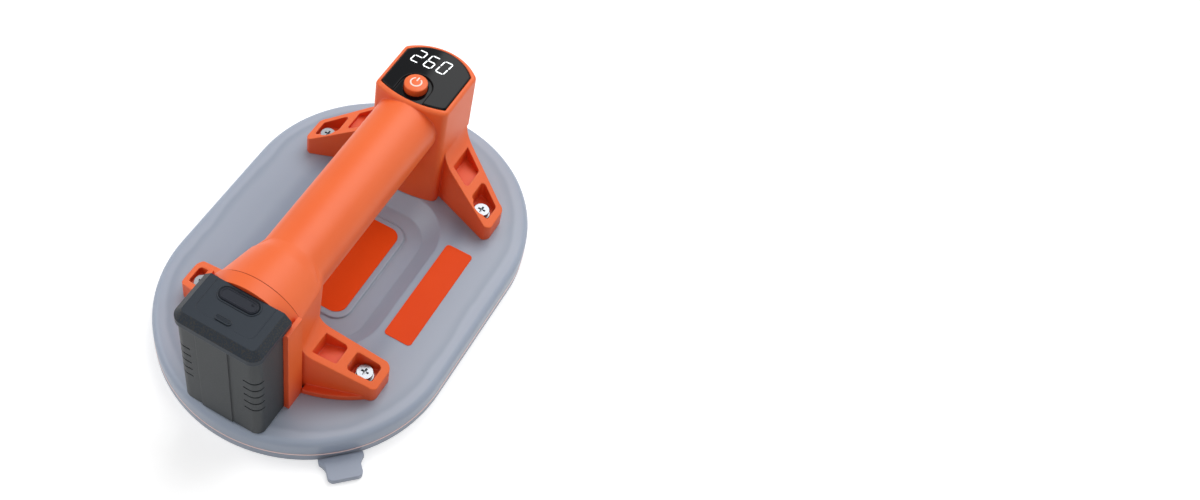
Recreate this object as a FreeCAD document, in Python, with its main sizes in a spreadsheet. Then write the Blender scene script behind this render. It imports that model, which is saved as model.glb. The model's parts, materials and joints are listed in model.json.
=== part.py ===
"""Floor tile suction lifter: a battery powered vacuum cup with a carrying handle.

Frame: +X towards the display, -X towards the battery, +Y to the left of someone who reads the
display, +Z up.  The origin lies on the sealing face, under the middle of the plate.
All sizes are millimetres and degrees.  Every driving size is written once, in SIZES.
"""
import FreeCAD, Part
import math
import os
import Sketcher

SIZES = {
    # plate
    "plate_half_straight": 45.8,
    "plate_radius": 95.0,
    "plate_top": 19.0,
    "plate_edge_round": 4.5,
    "plate_wall": 4.0,
    "plate_rim_wide": 21.0,
    "rib_thick": 3.0,
    "rib_spacing": 40.0,
    "rib_lift": 2.0,
    "recess_half_long": 66.0,
    "recess_half_wide": 45.0,
    "recess_corner": 33.0,
    "recess_slope_run": 11.0,
    "recess_deep": 9.0,
    "island_centre": 2.0,
    "island_half_long": 42.0,
    "island_half_wide": 22.5,
    "island_corner": 11.0,
    "island_rise": 1.2,
    # seals
    "skirt_tall": 5.4,
    "skirt_wide": 12.0,
    "lip_wide": 2.6,
    "lip_groove_wide": 1.8,
    "lip_groove_deep": 2.4,
    "gasket_tall": 1.2,
    "gasket_wide": 10.0,
    "gasket_inset": 0.3,
    "foam_wide": 7.5,
    "foam_lift": 0.4,
    "fit_gap": 0.3,
    # release tab
    "tab_angle": 225.0,
    "tab_thick": 3.6,
    "tab_reach": 16.4,
    "tab_root_wide": 27.0,
    "tab_tip_wide": 21.0,
    "tab_corner": 3.5,
    "tab_flare": 5.0,
    # labels
    "label_thick": 0.3,
    "centre_label_half_long": 38.0,
    "centre_label_half_wide": 18.5,
    "centre_label_corner": 8.0,
    "load_label_centre": 3.6,
    "load_label_half_long": 40.0,
    "load_label_inset": 36.1,
    "load_label_half_wide": 9.3,
    "load_label_corner": 2.5,
    # grip
    "grip_half_wide": 20.8,
    "grip_top": 101.6,
    "grip_bottom": 64.3,
    "grip_corner": 16.8,
    "grip_crown": 24.0,
    "grip_under_corner": 16.0,
    "grip_rear": -61.0,
    "shell_wall": 3.0,
    # rear tower
    "rear_front_x": -70.0,
    "rear_back_x": -96.0,
    "rear_half_wide": 28.0,
    "rear_top": 108.9,
    "rear_corner": 5.0,
    "rear_crown": 31.0,
    "neck_half_wide": 24.5,
    "neck_top": 104.0,
    "neck_corner": 8.0,
    "neck_crown": 26.0,
    "rear_throat": 56.0,
    "rear_throat_corner": 4.0,
    # front tower
    "front_half_wide": 25.5,
    "front_rear_mid": 64.4,
    "front_rear_corner": 68.8,
    "front_nose_mid": 117.6,
    "front_nose_corner": 106.8,
    "front_edge_round": 4.5,
    "front_top": 103.0,
    "front_top_round": 2.6,
    "cover_seat": 104.2,
    "cover_low": 61.0,
    "cover_high": 97.5,
    "cover_slope_tall": 8.0,
    "cover_slope_deep": 4.6,
    # legs
    "leg_rise_top": 70.0,
    "leg_root_side": 25.0,
    "leg_root_high": 55.0,
    "leg_tip_high": 31.0,
    "leg_margin": 25.4,
    "leg_tip_corner": 4.0,
    "leg_tip_arc": 4.8,
    "leg_hip_round": 15.0,
    "front_leg_root_rear": 74.8,
    "front_leg_root_nose": 103.8,
    "front_leg_tip_rear": 57.2,
    "front_leg_tip_nose": 78.2,
    "rear_leg_root_nose": -71.2,
    "rear_leg_root_back": -95.8,
    "rear_leg_tip_nose": -59.4,
    "rear_leg_tip_back": -80.2,
    "ledge_tall": 4.0,
    "ledge_arc": 85.0,
    "ledge_root": 2.9,
    "ledge_root_side": 30.7,
    "ledge_tip_back": 2.0,
    "ledge_tip": 1.0,
    "pocket_wall": 4.4,
    "pocket_inner_near": 31.6,
    "pocket_rib": 5.2,
    "pocket_reach": 8.0,
    "pocket_inner_floor": 41.5,
    "pocket_outer_floor": 28.5,
    "pocket_corner": 2.0,
    # leg screws
    "front_screw_x": 70.0,
    "rear_screw_x": -73.2,
    "screw_inset": 11.4,
    "screw_shank": 2.5,
    "screw_head": 4.9,
    "screw_head_tall": 3.4,
    "screw_long": 17.0,
    "screw_drive_deep": 1.8,
    "drive_ratio": 4.0,
    "washer_outer": 5.6,
    "washer_thick": 1.0,
    "washer_room": 0.6,
    "boss_radius": 8.0,
    "insert_radius": 3.6,
    "insert_long": 9.0,
    # display
    "lens_inset": 3.0,
    "lens_edge": 1.4,
    "lens_thick": 2.6,
    "lens_proud": 0.7,
    "lens_corner": 3.0,
    "lens_well_half": 10.5,
    "lens_well_deep": 1.2,
    "ceiling_thick": 2.8,
    "window_low": 91.0,
    "window_half": 15.8,
    "module_tall": 5.2,
    "module_inset": 0.5,
    # power button
    "button_x": 78.6,
    "button_side": 2.0,
    "button_radius": 7.3,
    "button_proud": 3.9,
    "button_dome": 0.9,
    "button_wall": 1.5,
    "button_roof": 2.6,
    "button_stem": 2.3,
    "button_flange": 1.5,
    "button_flange_tall": 1.1,
    "button_travel": 1.2,
    "running_gap": 0.3,
    "shaft_gap": 0.05,
    # control electronics
    "board_top": 95.3,
    "board_thick": 1.6,
    "board_low_x": 75.0,
    "board_half_wide": 21.0,
    "board_post": 2.6,
    "board_post_side": 18.3,
    "board_screw_head": 2.4,
    "board_screw_shank": 1.25,
    "switch_half": 3.1,
    "switch_tall": 3.5,
    "switch_plunger": 1.7,
    "switch_plunger_tall": 1.5,
    "chip_half": 4.6,
    "chip_tall": 1.4,
    # vacuum pump
    "motor_radius": 12.1,
    "motor_rear": -54.0,
    "motor_long": 31.0,
    "motor_wall": 0.9,
    "motor_cap_thick": 2.4,
    "armature_radius": 9.6,
    "armature_long": 19.0,
    "armature_slots": 3.0,
    "shaft_radius": 1.2,
    "shaft_out": 12.0,
    "pump_half": 11.5,
    "pump_long": 23.0,
    "pump_cover_long": 8.0,
    "crank_radius": 5.0,
    "crank_offset": 1.4,
    "crank_long": 6.0,
    "crank_room": 8.5,
    "wobble_radius": 7.0,
    "wobble_thick": 2.0,
    "diaphragm_radius": 10.0,
    "diaphragm_thick": 1.5,
    "pump_pad_long": 8.0,
    "pump_pad_half": 4.0,
    "barb_radius": 2.5,
    "barb_long": 9.0,
    "barb_bore": 1.2,
    "barb_spacing": 6.5,
    "barb_cover": 3.0,
    "gallery_bore": 0.9,
    # manifold and valve
    "manifold_low_x": 75.6,
    "manifold_high_x": 99.4,
    "manifold_half": 8.0,
    "manifold_tall": 11.0,
    "port_x": 86.0,
    "port_bore": 2.0,
    "filter_radius": 5.5,
    "filter_thick": 2.0,
    "hose_riser_x": 80.0,
    "hose_outer": 3.4,
    "hose_bend": 14.0,
    "valve_x": 92.0,
    "valve_half": 6.5,
    "valve_tall": 22.0,
    "valve_wall": 1.5,
    "plunger_radius": 3.0,
    "plunger_long": 12.0,
    "plunger_pocket": 4.0,
    "spring_radius": 2.2,
    "spring_wire": 0.35,
    "spring_turns": 5.0,
    "sensor_half": 4.0,
    "sensor_lift": 2.0,
    "sensor_high": 8.0,
    "sensor_tall": 5.0,
    # battery dock
    "dock_deep": 8.6,
    "dock_lap": 1.0,
    "dock_step": 0.3,
    "rail_inner": 27.7,
    "rail_outer": 30.4,
    "rail_front_x": -97.6,
    "rail_back_x": -111.6,
    "rail_drop": 0.6,
    "rail_lip": 25.9,
    "rail_lip_thick": 2.2,
    "sill_thick": 1.0,
    "contact_side": 8.0,
    "contact_half_thick": 0.5,
    "contact_low": 30.0,
    "contact_high": 52.0,
    "contact_reach": 3.4,
    "carrier_half": 14.4,
    "dock_screw_side": 19.0,
    "dock_screw_shank": 1.9,
    "dock_screw_head": 3.9,
    "dock_screw_bore": 2.2,
    "dock_screw_low": 34.0,
    "dock_screw_high": 84.0,
    # battery
    "battery_gap": 0.4,
    "battery_low": 20.4,
    "battery_deep": 31.4,
    "battery_half_wide": 27.3,
    "battery_corner": 6.0,
    "battery_front_corner": 1.6,
    "battery_panel_low": -8.4,
    "battery_panel_high": 12.6,
    "battery_panel_thick": 0.7,
    "battery_wall": 2.6,
    "battery_front_wall": 5.2,
    "battery_side_wall": 4.7,
    "slot_half": 0.9,
    "slot_deep": 4.2,
    "slot_high": 60.0,
    "notch_first": 47.4,
    "notch_pitch": 7.2,
    "notch_count": 5.0,
    "notch_half_tall": 0.6,
    "notch_near": 17.5,
    "notch_deep": 0.9,
    "cap_proud": 1.0,
    "cap_tall": 8.6,
    "cap_bevel": 4.4,
    "cap_roof": 4.0,
    "cap_wall": 3.2,
    "cap_panel_deep": 0.3,
    "cap_panel_back": -128.5,
    "cap_panel_half": 19.0,
    "cap_panel_corner": 4.0,
    "cell_radius": 10.6,
    "cell_tall": 68.0,
    "cell_side": 10.9,
    "tray_tall": 5.0,
    "tray_floor": 1.7,
    "tray_lid": 0.9,
    "guard_thick": 1.4,
    "guard_room": 3.0,
    # charging port
    "port_cover_x": -111.2,
    "port_cover_y": 1.0,
    "port_cover_half_long": 12.2,
    "port_cover_radius": 4.1,
    "port_cover_thick": 2.0,
    "port_cover_proud": 0.2,
    "nib_side": 8.3,
    "oval_flat": 0.08,
    "socket_half_long": 4.5,
    "socket_half_wide": 1.6,
    "socket_tall": 6.4,
    "pill_x": -126.0,
    "pill_half_long": 3.7,
    "pill_radius": 1.5,
    "pill_rise": 0.4,
    # wiring
    "lead_radius": 1.1,
    "lead_side": 15.6,
    "lead_bend": 8.0,
    "lead_turn": 4.8,
}


class Size:
    """A number together with the spreadsheet expression that gives it."""

    def __init__(self, value, text):
        self.value = float(value)
        self.text = text

    @staticmethod
    def of(other):
        """Return a Size for a Size or a plain number."""
        if isinstance(other, Size):
            return other
        return Size(other, "(%s)" % repr(float(other)))

    def __add__(self, other):
        other = Size.of(other)
        return Size(self.value + other.value, "(%s + %s)" % (self.text, other.text))

    def __sub__(self, other):
        other = Size.of(other)
        return Size(self.value - other.value, "(%s - %s)" % (self.text, other.text))

    def __mul__(self, other):
        other = Size.of(other)
        return Size(self.value * other.value, "(%s * %s)" % (self.text, other.text))

    def __truediv__(self, other):
        other = Size.of(other)
        return Size(self.value / other.value, "(%s / %s)" % (self.text, other.text))

    def __radd__(self, other):
        return Size.of(other) + self

    def __rsub__(self, other):
        return Size.of(other) - self

    def __rmul__(self, other):
        return Size.of(other) * self

    def __neg__(self):
        return Size(-self.value, "(-1 * %s)" % self.text)


def root(size):
    """Square root of a Size."""
    return Size(math.sqrt(size.value), "sqrt(%s)" % size.text)


class Sheet:
    """The driving dimensions, readable as attributes that are Sizes."""

    def __init__(self, doc, sizes):
        self._values = dict(sizes)
        self._object = doc.addObject("Spreadsheet::Sheet", "sizes")
        self._object.Label = "sizes"
        for row, (name, value) in enumerate(sizes.items(), start=1):
            self._object.set("A%d" % row, name)
            self._object.set("B%d" % row, repr(float(value)))
            self._object.setAlias("B%d" % row, name)

    def __getattr__(self, name):
        return Size(self._values[name], "sizes." + name)


doc = FreeCAD.newDocument("suction_lifter")
at = Sheet(doc, SIZES)
doc.recompute()
ZERO = Size(0.0, "(0.0)")
NEAR = 0.001
FULL_TURN = 360
nodes = []


# Sketches and solid features

def new_body(label):
    """Start a solid that is made by sketches and features."""
    body = doc.addObject("PartDesign::Body", label)
    body.Label = label
    return body


def keep(item, label=None):
    """Record an object as one of the delivered pieces."""
    if label is not None:
        item.Label = label
    nodes.append(item)
    return item


def plane_of(body, role):
    """Return the origin plane of a body by its role."""
    return next(item for item in body.Origin.OriginFeatures if item.Role == role)


def new_sketch(body, role, name, offset=None):
    """Start a sketch on an origin plane, moved along the plane's normal by offset."""
    sketch = body.newObject("Sketcher::SketchObject", name)
    sketch.AttachmentSupport = [(plane_of(body, role), "")]
    sketch.MapMode = "FlatFace"
    if offset is not None:
        sketch.setExpression(".AttachmentOffset.Base.z", offset.text)
    return sketch


def drive(sketch, kind, *arguments):
    """Add one dimension whose last argument is a Size."""
    size = arguments[-1]
    index = sketch.addConstraint(Sketcher.Constraint(kind, *arguments[:-1], size.value))
    sketch.setExpression("Constraints[%d]" % index, size.text)


def pin(sketch, item, point, across, along):
    """Fix a point of a sketch item at two coordinates."""
    drive(sketch, "DistanceX", -1, 1, item, point, across)
    drive(sketch, "DistanceY", -1, 1, item, point, along)


def circle(sketch, across, along, radius):
    """Add a circle with a driven centre and radius."""
    centre = FreeCAD.Vector(across.value, along.value, 0)
    item = sketch.addGeometry(Part.Circle(centre, FreeCAD.Vector(0, 0, 1), radius.value))
    pin(sketch, item, 3, across, along)
    drive(sketch, "Radius", item, radius)


def bulge_arc(start, end, radius, left):
    """Return the anticlockwise minor arc between two points.

    Its belly lies to the left or right of the way from start to end; a belly to the left makes
    that way clockwise, so the arc then runs from end to start.
    """
    chord = end - start
    half = chord.Length / 2
    rise = radius - math.sqrt(max(radius * radius - half * half, 0.0))
    side = FreeCAD.Vector(-chord.y, chord.x, 0).normalize()
    middle = (start + end) / 2
    if left:
        return Part.Arc(end, middle + side * rise, start)
    return Part.Arc(start, middle - side * rise, end)


def outline(sketch, corners):
    """Draw a closed outline.

    Each corner is (across, along) or (across, along, radius, left): the second form joins the
    corner to the one before it by an arc of that radius, whose belly lies to the left or right.
    """
    points = [FreeCAD.Vector(corner[0].value, corner[1].value, 0) for corner in corners]
    items = []
    for index, corner in enumerate(corners):
        start = points[index - 1]
        end = points[index]
        if len(corner) == 2:
            items.append(sketch.addGeometry(Part.LineSegment(start, end)))
        else:
            items.append(sketch.addGeometry(bulge_arc(start, end, corner[2].value, corner[3])))
    ends = []
    for index, corner in enumerate(corners):
        geometry = sketch.Geometry[items[index]]
        forward = (geometry.EndPoint - points[index]).Length < (geometry.StartPoint - points[index]).Length
        ends.append(2 if forward else 1)
    for index, corner in enumerate(corners):
        following = (index + 1) % len(corners)
        sketch.addConstraint(Sketcher.Constraint("Coincident", items[index], ends[index],
                                                 items[following], 3 - ends[following]))
        pin(sketch, items[index], ends[index], corner[0], corner[1])
        if len(corner) > 2:
            drive(sketch, "Radius", items[index], corner[2])


def rectangle(sketch, low_across, high_across, low_along, high_along):
    """Draw a plain rectangle between two pairs of coordinates."""
    outline(sketch, [(low_across, low_along), (high_across, low_along),
                     (high_across, high_along), (low_across, high_along)])


def rounded(sketch, across, along, half_across, half_along, radius):
    """Draw a rounded rectangle about a centre."""
    left = across - half_across
    right = across + half_across
    low = along - half_along
    high = along + half_along
    outline(sketch, [(left + radius, low), (right - radius, low),
                     (right, low + radius, radius, False), (right, high - radius),
                     (right - radius, high, radius, False), (left + radius, high),
                     (left, high - radius, radius, False), (left, low + radius),
                     (left + radius, low, radius, False)][1:])


def stadium(sketch, half_straight, radius):
    """Draw two half circles joined by straight sides."""
    arcs = []
    for side in (1, -1):
        centre = FreeCAD.Vector(side * half_straight.value, 0, 0)
        whole = Part.Circle(centre, FreeCAD.Vector(0, 0, 1), radius.value)
        turn = 0 if side > 0 else math.pi
        arc = sketch.addGeometry(Part.ArcOfCircle(whole, turn - math.pi / 2, turn + math.pi / 2))
        pin(sketch, arc, 3, half_straight * side, ZERO)
        drive(sketch, "Radius", arc, radius)
        sketch.addConstraint(Sketcher.Constraint("Vertical", arc, 3, arc, 1))
        sketch.addConstraint(Sketcher.Constraint("Vertical", arc, 3, arc, 2))
        arcs.append(arc)
    for first, second in ((arcs[0], arcs[1]), (arcs[1], arcs[0])):
        start = sketch.Geometry[first].EndPoint
        end = sketch.Geometry[second].StartPoint
        line = sketch.addGeometry(Part.LineSegment(start, end))
        sketch.addConstraint(Sketcher.Constraint("Coincident", first, 2, line, 1))
        sketch.addConstraint(Sketcher.Constraint("Coincident", line, 2, second, 1))


def pad(body, sketch, name, length, back=False):
    """Add material along the sketch normal, or against it."""
    item = body.newObject("PartDesign::Pad", name)
    item.Profile = sketch
    item.setExpression("Length", length.text)
    item.Reversed = back
    return item


def pocket(body, sketch, name, length, onward=False):
    """Remove material against the sketch normal, or onward along it."""
    item = body.newObject("PartDesign::Pocket", name)
    item.Profile = sketch
    item.setExpression("Length", length.text)
    item.Reversed = onward
    return item


def loft(body, kind, name, first, second):
    """Add or remove the ruled solid between two sketches."""
    item = body.newObject("PartDesign::" + kind, name)
    item.Profile = first
    item.Sections = [(second, "")]
    item.Ruled = True
    return item


def dress(body, kind, name, size, test):
    """Fillet or chamfer the edges of the body so far that pass a test."""
    doc.recompute()
    base = body.Tip
    edges = ["Edge%d" % (index + 1) for index, edge in enumerate(base.Shape.Edges) if test(edge)]
    if not edges:
        raise ValueError("no edge for " + name)
    item = body.newObject("PartDesign::" + kind, name)
    item.Base = (base, edges)
    item.setExpression("Radius" if kind == "Fillet" else "Size", size.text)
    return item


def upright(edge):
    """Tell whether an edge is a straight line along Z."""
    box = edge.BoundBox
    return box.XLength < NEAR and box.YLength < NEAR


def level_at(edge, size):
    """Tell whether an edge lies in the level plane at a height."""
    box = edge.BoundBox
    return abs(box.ZMin - size.value) < NEAR and abs(box.ZMax - size.value) < NEAR


def behind(edge, size):
    """Tell whether an edge is upright and lies no further forward than a place."""
    return upright(edge) and edge.BoundBox.XMax < size.value + NEAR


# Primitive solids and booleans

AXIS_TURNS = {
    "Z": FreeCAD.Rotation(),
    "X": FreeCAD.Rotation(FreeCAD.Vector(0, 1, 0), 90),
    "Y": FreeCAD.Rotation(FreeCAD.Vector(1, 0, 0), -90),
}


def place(item, spot, axis="Z"):
    """Put a primitive at a spot of three Sizes, with its own Z turned to an axis."""
    item.Placement = FreeCAD.Placement(FreeCAD.Vector(*[size.value for size in spot]), AXIS_TURNS[axis])
    for letter, size in zip("xyz", spot):
        item.setExpression(".Placement.Base." + letter, size.text)
    return item


def block(name, low, high):
    """Make a box between two corners given as Sizes."""
    item = doc.addObject("Part::Box", name)
    for prop, first, last in zip(("Length", "Width", "Height"), low, high):
        item.setExpression(prop, (last - first).text)
    return place(item, low)


def rod(name, spot, radius, length, axis="Z"):
    """Make a cylinder that starts at a spot and runs along an axis."""
    item = doc.addObject("Part::Cylinder", name)
    item.setExpression("Radius", radius.text)
    item.setExpression("Height", length.text)
    return place(item, spot, axis)


def fused(name, items):
    """Join solids that touch."""
    item = doc.addObject("Part::MultiFuse", name)
    item.Shapes = items
    return item


def less(name, base, tool):
    """Cut one solid out of another."""
    item = doc.addObject("Part::Cut", name)
    item.Base = base
    item.Tool = tool
    return item


def group(name, items):
    """Keep several separate solids as one piece group."""
    item = doc.addObject("Part::Compound", name)
    item.Links = items
    return item


plate_under = at.skirt_tall + at.gasket_tall
recess_floor = at.plate_top - at.recess_deep
island_top = recess_floor + at.island_rise
leg_tip_side = at.plate_radius - at.leg_margin
screw_side = leg_tip_side - at.screw_inset
pocket_outer_far = leg_tip_side - at.pocket_wall
pocket_outer_near = screw_side - at.pocket_reach
pocket_inner_far = pocket_outer_near - at.pocket_rib
screw_spots = [(x, screw_side * side) for x in (at.front_screw_x, at.rear_screw_x) for side in (1, -1)]
lens_top = at.front_top + at.lens_proud
lens_under = lens_top - at.lens_thick
ceiling_under = lens_under - at.ceiling_thick
board_under = at.board_top - at.board_thick
button_top = lens_top + at.button_proud
board_high_x = at.cover_seat - at.shell_wall - at.fit_gap
board_spots = [(x, at.board_post_side * side) for x in (at.board_low_x + at.board_post, board_high_x - at.board_post)
               for side in (1, -1)]


# Plate, seals and labels

def make_base_plate():
    """Moulded plate with a finger recess on top and a ribbed hollow below."""
    body = new_body("base_plate")
    sketch = new_sketch(body, "XY_Plane", "plate_outline", plate_under)
    stadium(sketch, at.plate_half_straight, at.plate_radius)
    pad(body, sketch, "plate_slab", at.plate_top - plate_under)
    dress(body, "Fillet", "plate_edge", at.plate_edge_round, lambda edge: level_at(edge, at.plate_top))

    mouth = new_sketch(body, "XY_Plane", "recess_mouth", at.plate_top)
    rounded(mouth, ZERO, ZERO, at.recess_half_long, at.recess_half_wide, at.recess_corner)
    floor = new_sketch(body, "XY_Plane", "recess_floor", recess_floor)
    run = at.recess_slope_run
    rounded(floor, ZERO, ZERO, at.recess_half_long - run, at.recess_half_wide - run, at.recess_corner - run)
    loft(body, "SubtractiveLoft", "finger_recess", mouth, floor)

    island = new_sketch(body, "XY_Plane", "island_outline", recess_floor)
    rounded(island, at.island_centre, ZERO, at.island_half_long, at.island_half_wide, at.island_corner)
    pad(body, island, "label_island", at.island_rise)

    channel = new_sketch(body, "XY_Plane", "channel_outline", plate_under)
    stadium(channel, at.plate_half_straight, at.plate_radius - at.plate_rim_wide)
    rounded(channel, ZERO, ZERO, at.recess_half_long + at.plate_wall, at.recess_half_wide + at.plate_wall,
            at.recess_corner + at.plate_wall)
    for x, y in screw_spots:
        circle(channel, x, y, at.boss_radius)
    circle(channel, at.port_x, ZERO, at.boss_radius)
    channel_deep = at.plate_top - at.plate_wall - plate_under
    pocket(body, channel, "underside_channel", channel_deep, onward=True)

    ribs = new_sketch(body, "XY_Plane", "rib_outlines", plate_under + at.rib_lift)
    inner = at.recess_half_wide + at.plate_wall - at.rib_thick
    outer = at.plate_radius - at.plate_rim_wide + at.rib_thick
    for side in (1, -1):
        for step in (-1, 0, 1):
            middle = at.rib_spacing * step
            low = at.rib_thick / 2
            edges = sorted((inner * side, outer * side), key=lambda size: size.value)
            rectangle(ribs, middle - low, middle + low, edges[0], edges[1])
    pad(body, ribs, "underside_ribs", channel_deep - at.rib_lift)

    holes = new_sketch(body, "XY_Plane", "insert_holes", at.plate_top)
    for x, y in screw_spots:
        circle(holes, x, y, at.insert_radius)
    pocket(body, holes, "insert_pockets", at.insert_long)
    port = new_sketch(body, "XY_Plane", "port_hole", at.plate_top)
    circle(port, at.port_x, ZERO, at.port_bore)
    pocket(body, port, "port_bore_cut", at.plate_top - plate_under)
    seat = new_sketch(body, "XY_Plane", "filter_seat", plate_under)
    circle(seat, at.port_x, ZERO, at.filter_radius)
    pocket(body, seat, "filter_seat_cut", at.filter_thick, onward=True)
    keep(body)


def make_ring(label, low, tall, outer, wide):
    """Make a flat seal that follows the plate outline; returns its body."""
    body = new_body(label)
    sketch = new_sketch(body, "XY_Plane", label + "_outline", low)
    stadium(sketch, at.plate_half_straight, outer)
    stadium(sketch, at.plate_half_straight, outer - wide)
    pad(body, sketch, label + "_band", tall)
    return keep(body)


def make_seals():
    """Gasket under the plate, grooved rubber skirt, and closed cell foam inside it."""
    make_ring("rim_gasket", at.skirt_tall, at.gasket_tall, at.plate_radius - at.gasket_inset, at.gasket_wide)
    skirt = make_ring("sealing_skirt", ZERO, at.skirt_tall, at.plate_radius, at.skirt_wide)
    grooves = new_sketch(skirt, "XY_Plane", "lip_grooves")
    outer = at.plate_radius - at.lip_wide
    for turn in (0, 1):
        edge = outer - (at.lip_wide + at.lip_groove_wide) * turn
        stadium(grooves, at.plate_half_straight, edge)
        stadium(grooves, at.plate_half_straight, edge - at.lip_groove_wide)
    pocket(skirt, grooves, "lip_groove_cut", at.lip_groove_deep, onward=True)
    foam_outer = at.plate_radius - at.skirt_wide - at.fit_gap
    make_ring("foam_seal", at.foam_lift, plate_under - at.foam_lift, foam_outer, at.foam_wide)


def make_release_tab():
    """Pull tab on the skirt, drawn along its own X and turned to its place on the rim."""
    body = new_body("release_tab")
    hinge = at.plate_radius + at.fit_gap + at.tab_thick / 2
    tip = at.plate_radius + at.tab_reach
    root_half = at.tab_root_wide / 2
    tip_half = at.tab_tip_wide / 2
    corner = at.tab_corner
    sketch = new_sketch(body, "XY_Plane", "tab_outline", at.fit_gap)
    flare = at.tab_flare
    outline(sketch, [(hinge, -root_half), (hinge + flare, -tip_half, flare, True), (tip - corner, -tip_half),
                     (tip, corner - tip_half, corner, False), (tip, tip_half - corner),
                     (tip - corner, tip_half, corner, False), (hinge + flare, tip_half),
                     (hinge, root_half, flare, True)])
    pad(body, sketch, "tab_blade", at.tab_thick)
    bead = new_sketch(body, "XZ_Plane", "tab_bead", -root_half)
    circle(bead, hinge, at.fit_gap + at.tab_thick / 2, at.tab_thick / 2)
    pad(body, bead, "tab_root_bead", at.tab_root_wide)
    turn = at.tab_angle
    body.Placement = FreeCAD.Placement(FreeCAD.Vector(-at.plate_half_straight.value, 0, 0),
                                       FreeCAD.Rotation(FreeCAD.Vector(0, 0, 1), turn.value))
    body.setExpression(".Placement.Base.x", (-at.plate_half_straight).text)
    body.setExpression(".Placement.Rotation.Angle", turn.text)
    keep(body)


def make_labels():
    """Bare sticker in the recess and bare sticker beside it."""
    for label, spot, half_long, half_wide, corner, low in (
            ("centre_label", (at.island_centre, ZERO), at.centre_label_half_long,
             at.centre_label_half_wide, at.centre_label_corner, island_top),
            ("load_label", (at.load_label_centre, at.load_label_inset - at.plate_radius), at.load_label_half_long,
             at.load_label_half_wide, at.load_label_corner, at.plate_top)):
        body = new_body(label)
        sketch = new_sketch(body, "XY_Plane", label + "_outline", low)
        rounded(sketch, spot[0], spot[1], half_long, half_wide, corner)
        pad(body, sketch, label + "_sheet", at.label_thick)
        keep(body)


# Handle

def crowned(sketch, half_wide, top, corner, crown, low, low_corner=None):
    """Draw an upright section whose crown arc runs tangent into its upper corner arcs."""
    rise = root((crown - corner) * (crown - corner) - (half_wide - corner) * (half_wide - corner))
    spring_line = top - crown + rise
    share = crown / (crown - corner)
    shoulder = (half_wide - corner) * share
    shoulder_high = top - crown + rise * share
    corners = [(half_wide, spring_line), (shoulder, shoulder_high, corner, False),
               (-shoulder, shoulder_high, crown, False), (-half_wide, spring_line, corner, False)]
    if low_corner is None:
        corners += [(-half_wide, low), (half_wide, low)]
    else:
        corners += [(-half_wide, low + low_corner), (low_corner - half_wide, low, low_corner, False),
                    (half_wide - low_corner, low), (half_wide, low + low_corner, low_corner, False)]
    outline(sketch, corners)


def tower_arch(sketch, inset, low):
    """Draw the rear tower's section at its dock end, drawn in by an inset."""
    crowned(sketch, at.rear_half_wide - inset, at.rear_top - inset, at.rear_corner - inset,
            at.rear_crown - inset, low)


def neck_arch(sketch, inset, low):
    """Draw the rear tower's section at its grip end, drawn in by an inset."""
    crowned(sketch, at.neck_half_wide - inset, at.neck_top - inset, at.neck_corner - inset,
            at.neck_crown - inset, low)


def barrel(sketch, half_wide, rear_mid, rear_corner, nose_corner, nose_mid):
    """Draw a plan outline with straight sides and bowed front and rear edges."""
    rear_sag = rear_corner - rear_mid
    nose_sag = nose_mid - nose_corner
    rear_radius = (half_wide * half_wide + rear_sag * rear_sag) / (rear_sag * 2)
    nose_radius = (half_wide * half_wide + nose_sag * nose_sag) / (nose_sag * 2)
    outline(sketch, [(rear_corner, -half_wide, rear_radius, False), (nose_corner, -half_wide),
                     (nose_corner, half_wide, nose_radius, False), (rear_corner, half_wide)])


def tower_barrel(sketch, inset):
    """Draw the front tower outline, drawn in by an inset."""
    barrel(sketch, at.front_half_wide - inset, at.front_rear_mid + inset, at.front_rear_corner + inset,
           at.front_nose_corner - inset, at.front_nose_mid - inset)


legs = (
    (at.front_leg_root_rear, at.front_leg_root_nose, at.front_leg_tip_rear, at.front_leg_tip_nose),
    (at.rear_leg_root_back, at.rear_leg_root_nose, at.rear_leg_tip_back, at.rear_leg_tip_nose),
)


def mirrored_outline(sketch, side, corners):
    """Draw an outline on one side of the middle plane; side is 1 or -1."""
    turned = []
    for corner in corners:
        if len(corner) == 2:
            turned.append((corner[0], corner[1] * side))
        else:
            turned.append((corner[0], corner[1] * side, corner[2], corner[3] if side > 0 else not corner[3]))
    outline(sketch, turned)


def along_leg(leg, inset, reach):
    """Return the two side lines of a leg, drawn in by an inset, at a reach from the middle plane."""
    root_low, root_high, tip_low, tip_high = leg
    share = (reach - at.leg_root_side) / (leg_tip_side - at.leg_root_side)
    return root_low + (tip_low - root_low) * share + inset, root_high + (tip_high - root_high) * share - inset


def slope_cut(sketch, side, base_side, tower_side):
    """Draw the space above a leg: a straight slope that sweeps up into the tower side.

    The slope is the one that starts at the base side, also where the tower side lies elsewhere.
    """
    steep = (at.leg_root_high - at.leg_tip_high) / (leg_tip_side - base_side)
    length = root(steep * steep + 1)
    bend = at.leg_hip_round
    root_high = at.leg_root_high - steep * (tower_side - base_side)
    centre_high = root_high - steep * bend + length * bend
    hip = (tower_side + bend - bend * steep / length, centre_high - bend / length)
    beyond = leg_tip_side + at.leg_hip_round
    end_high = root_high - steep * (beyond - tower_side)
    over = at.leg_rise_top + at.leg_hip_round
    mirrored = [(tower_side, over), (tower_side, centre_high), (hip[0], hip[1], bend, False),
                (beyond, end_high), (beyond, over)]
    turned = []
    for corner in mirrored:
        if len(corner) == 2:
            turned.append((corner[0] * side, corner[1]))
        else:
            turned.append((corner[0] * side, corner[1], corner[2], corner[3] if side > 0 else not corner[3]))
    outline(sketch, turned)


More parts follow.
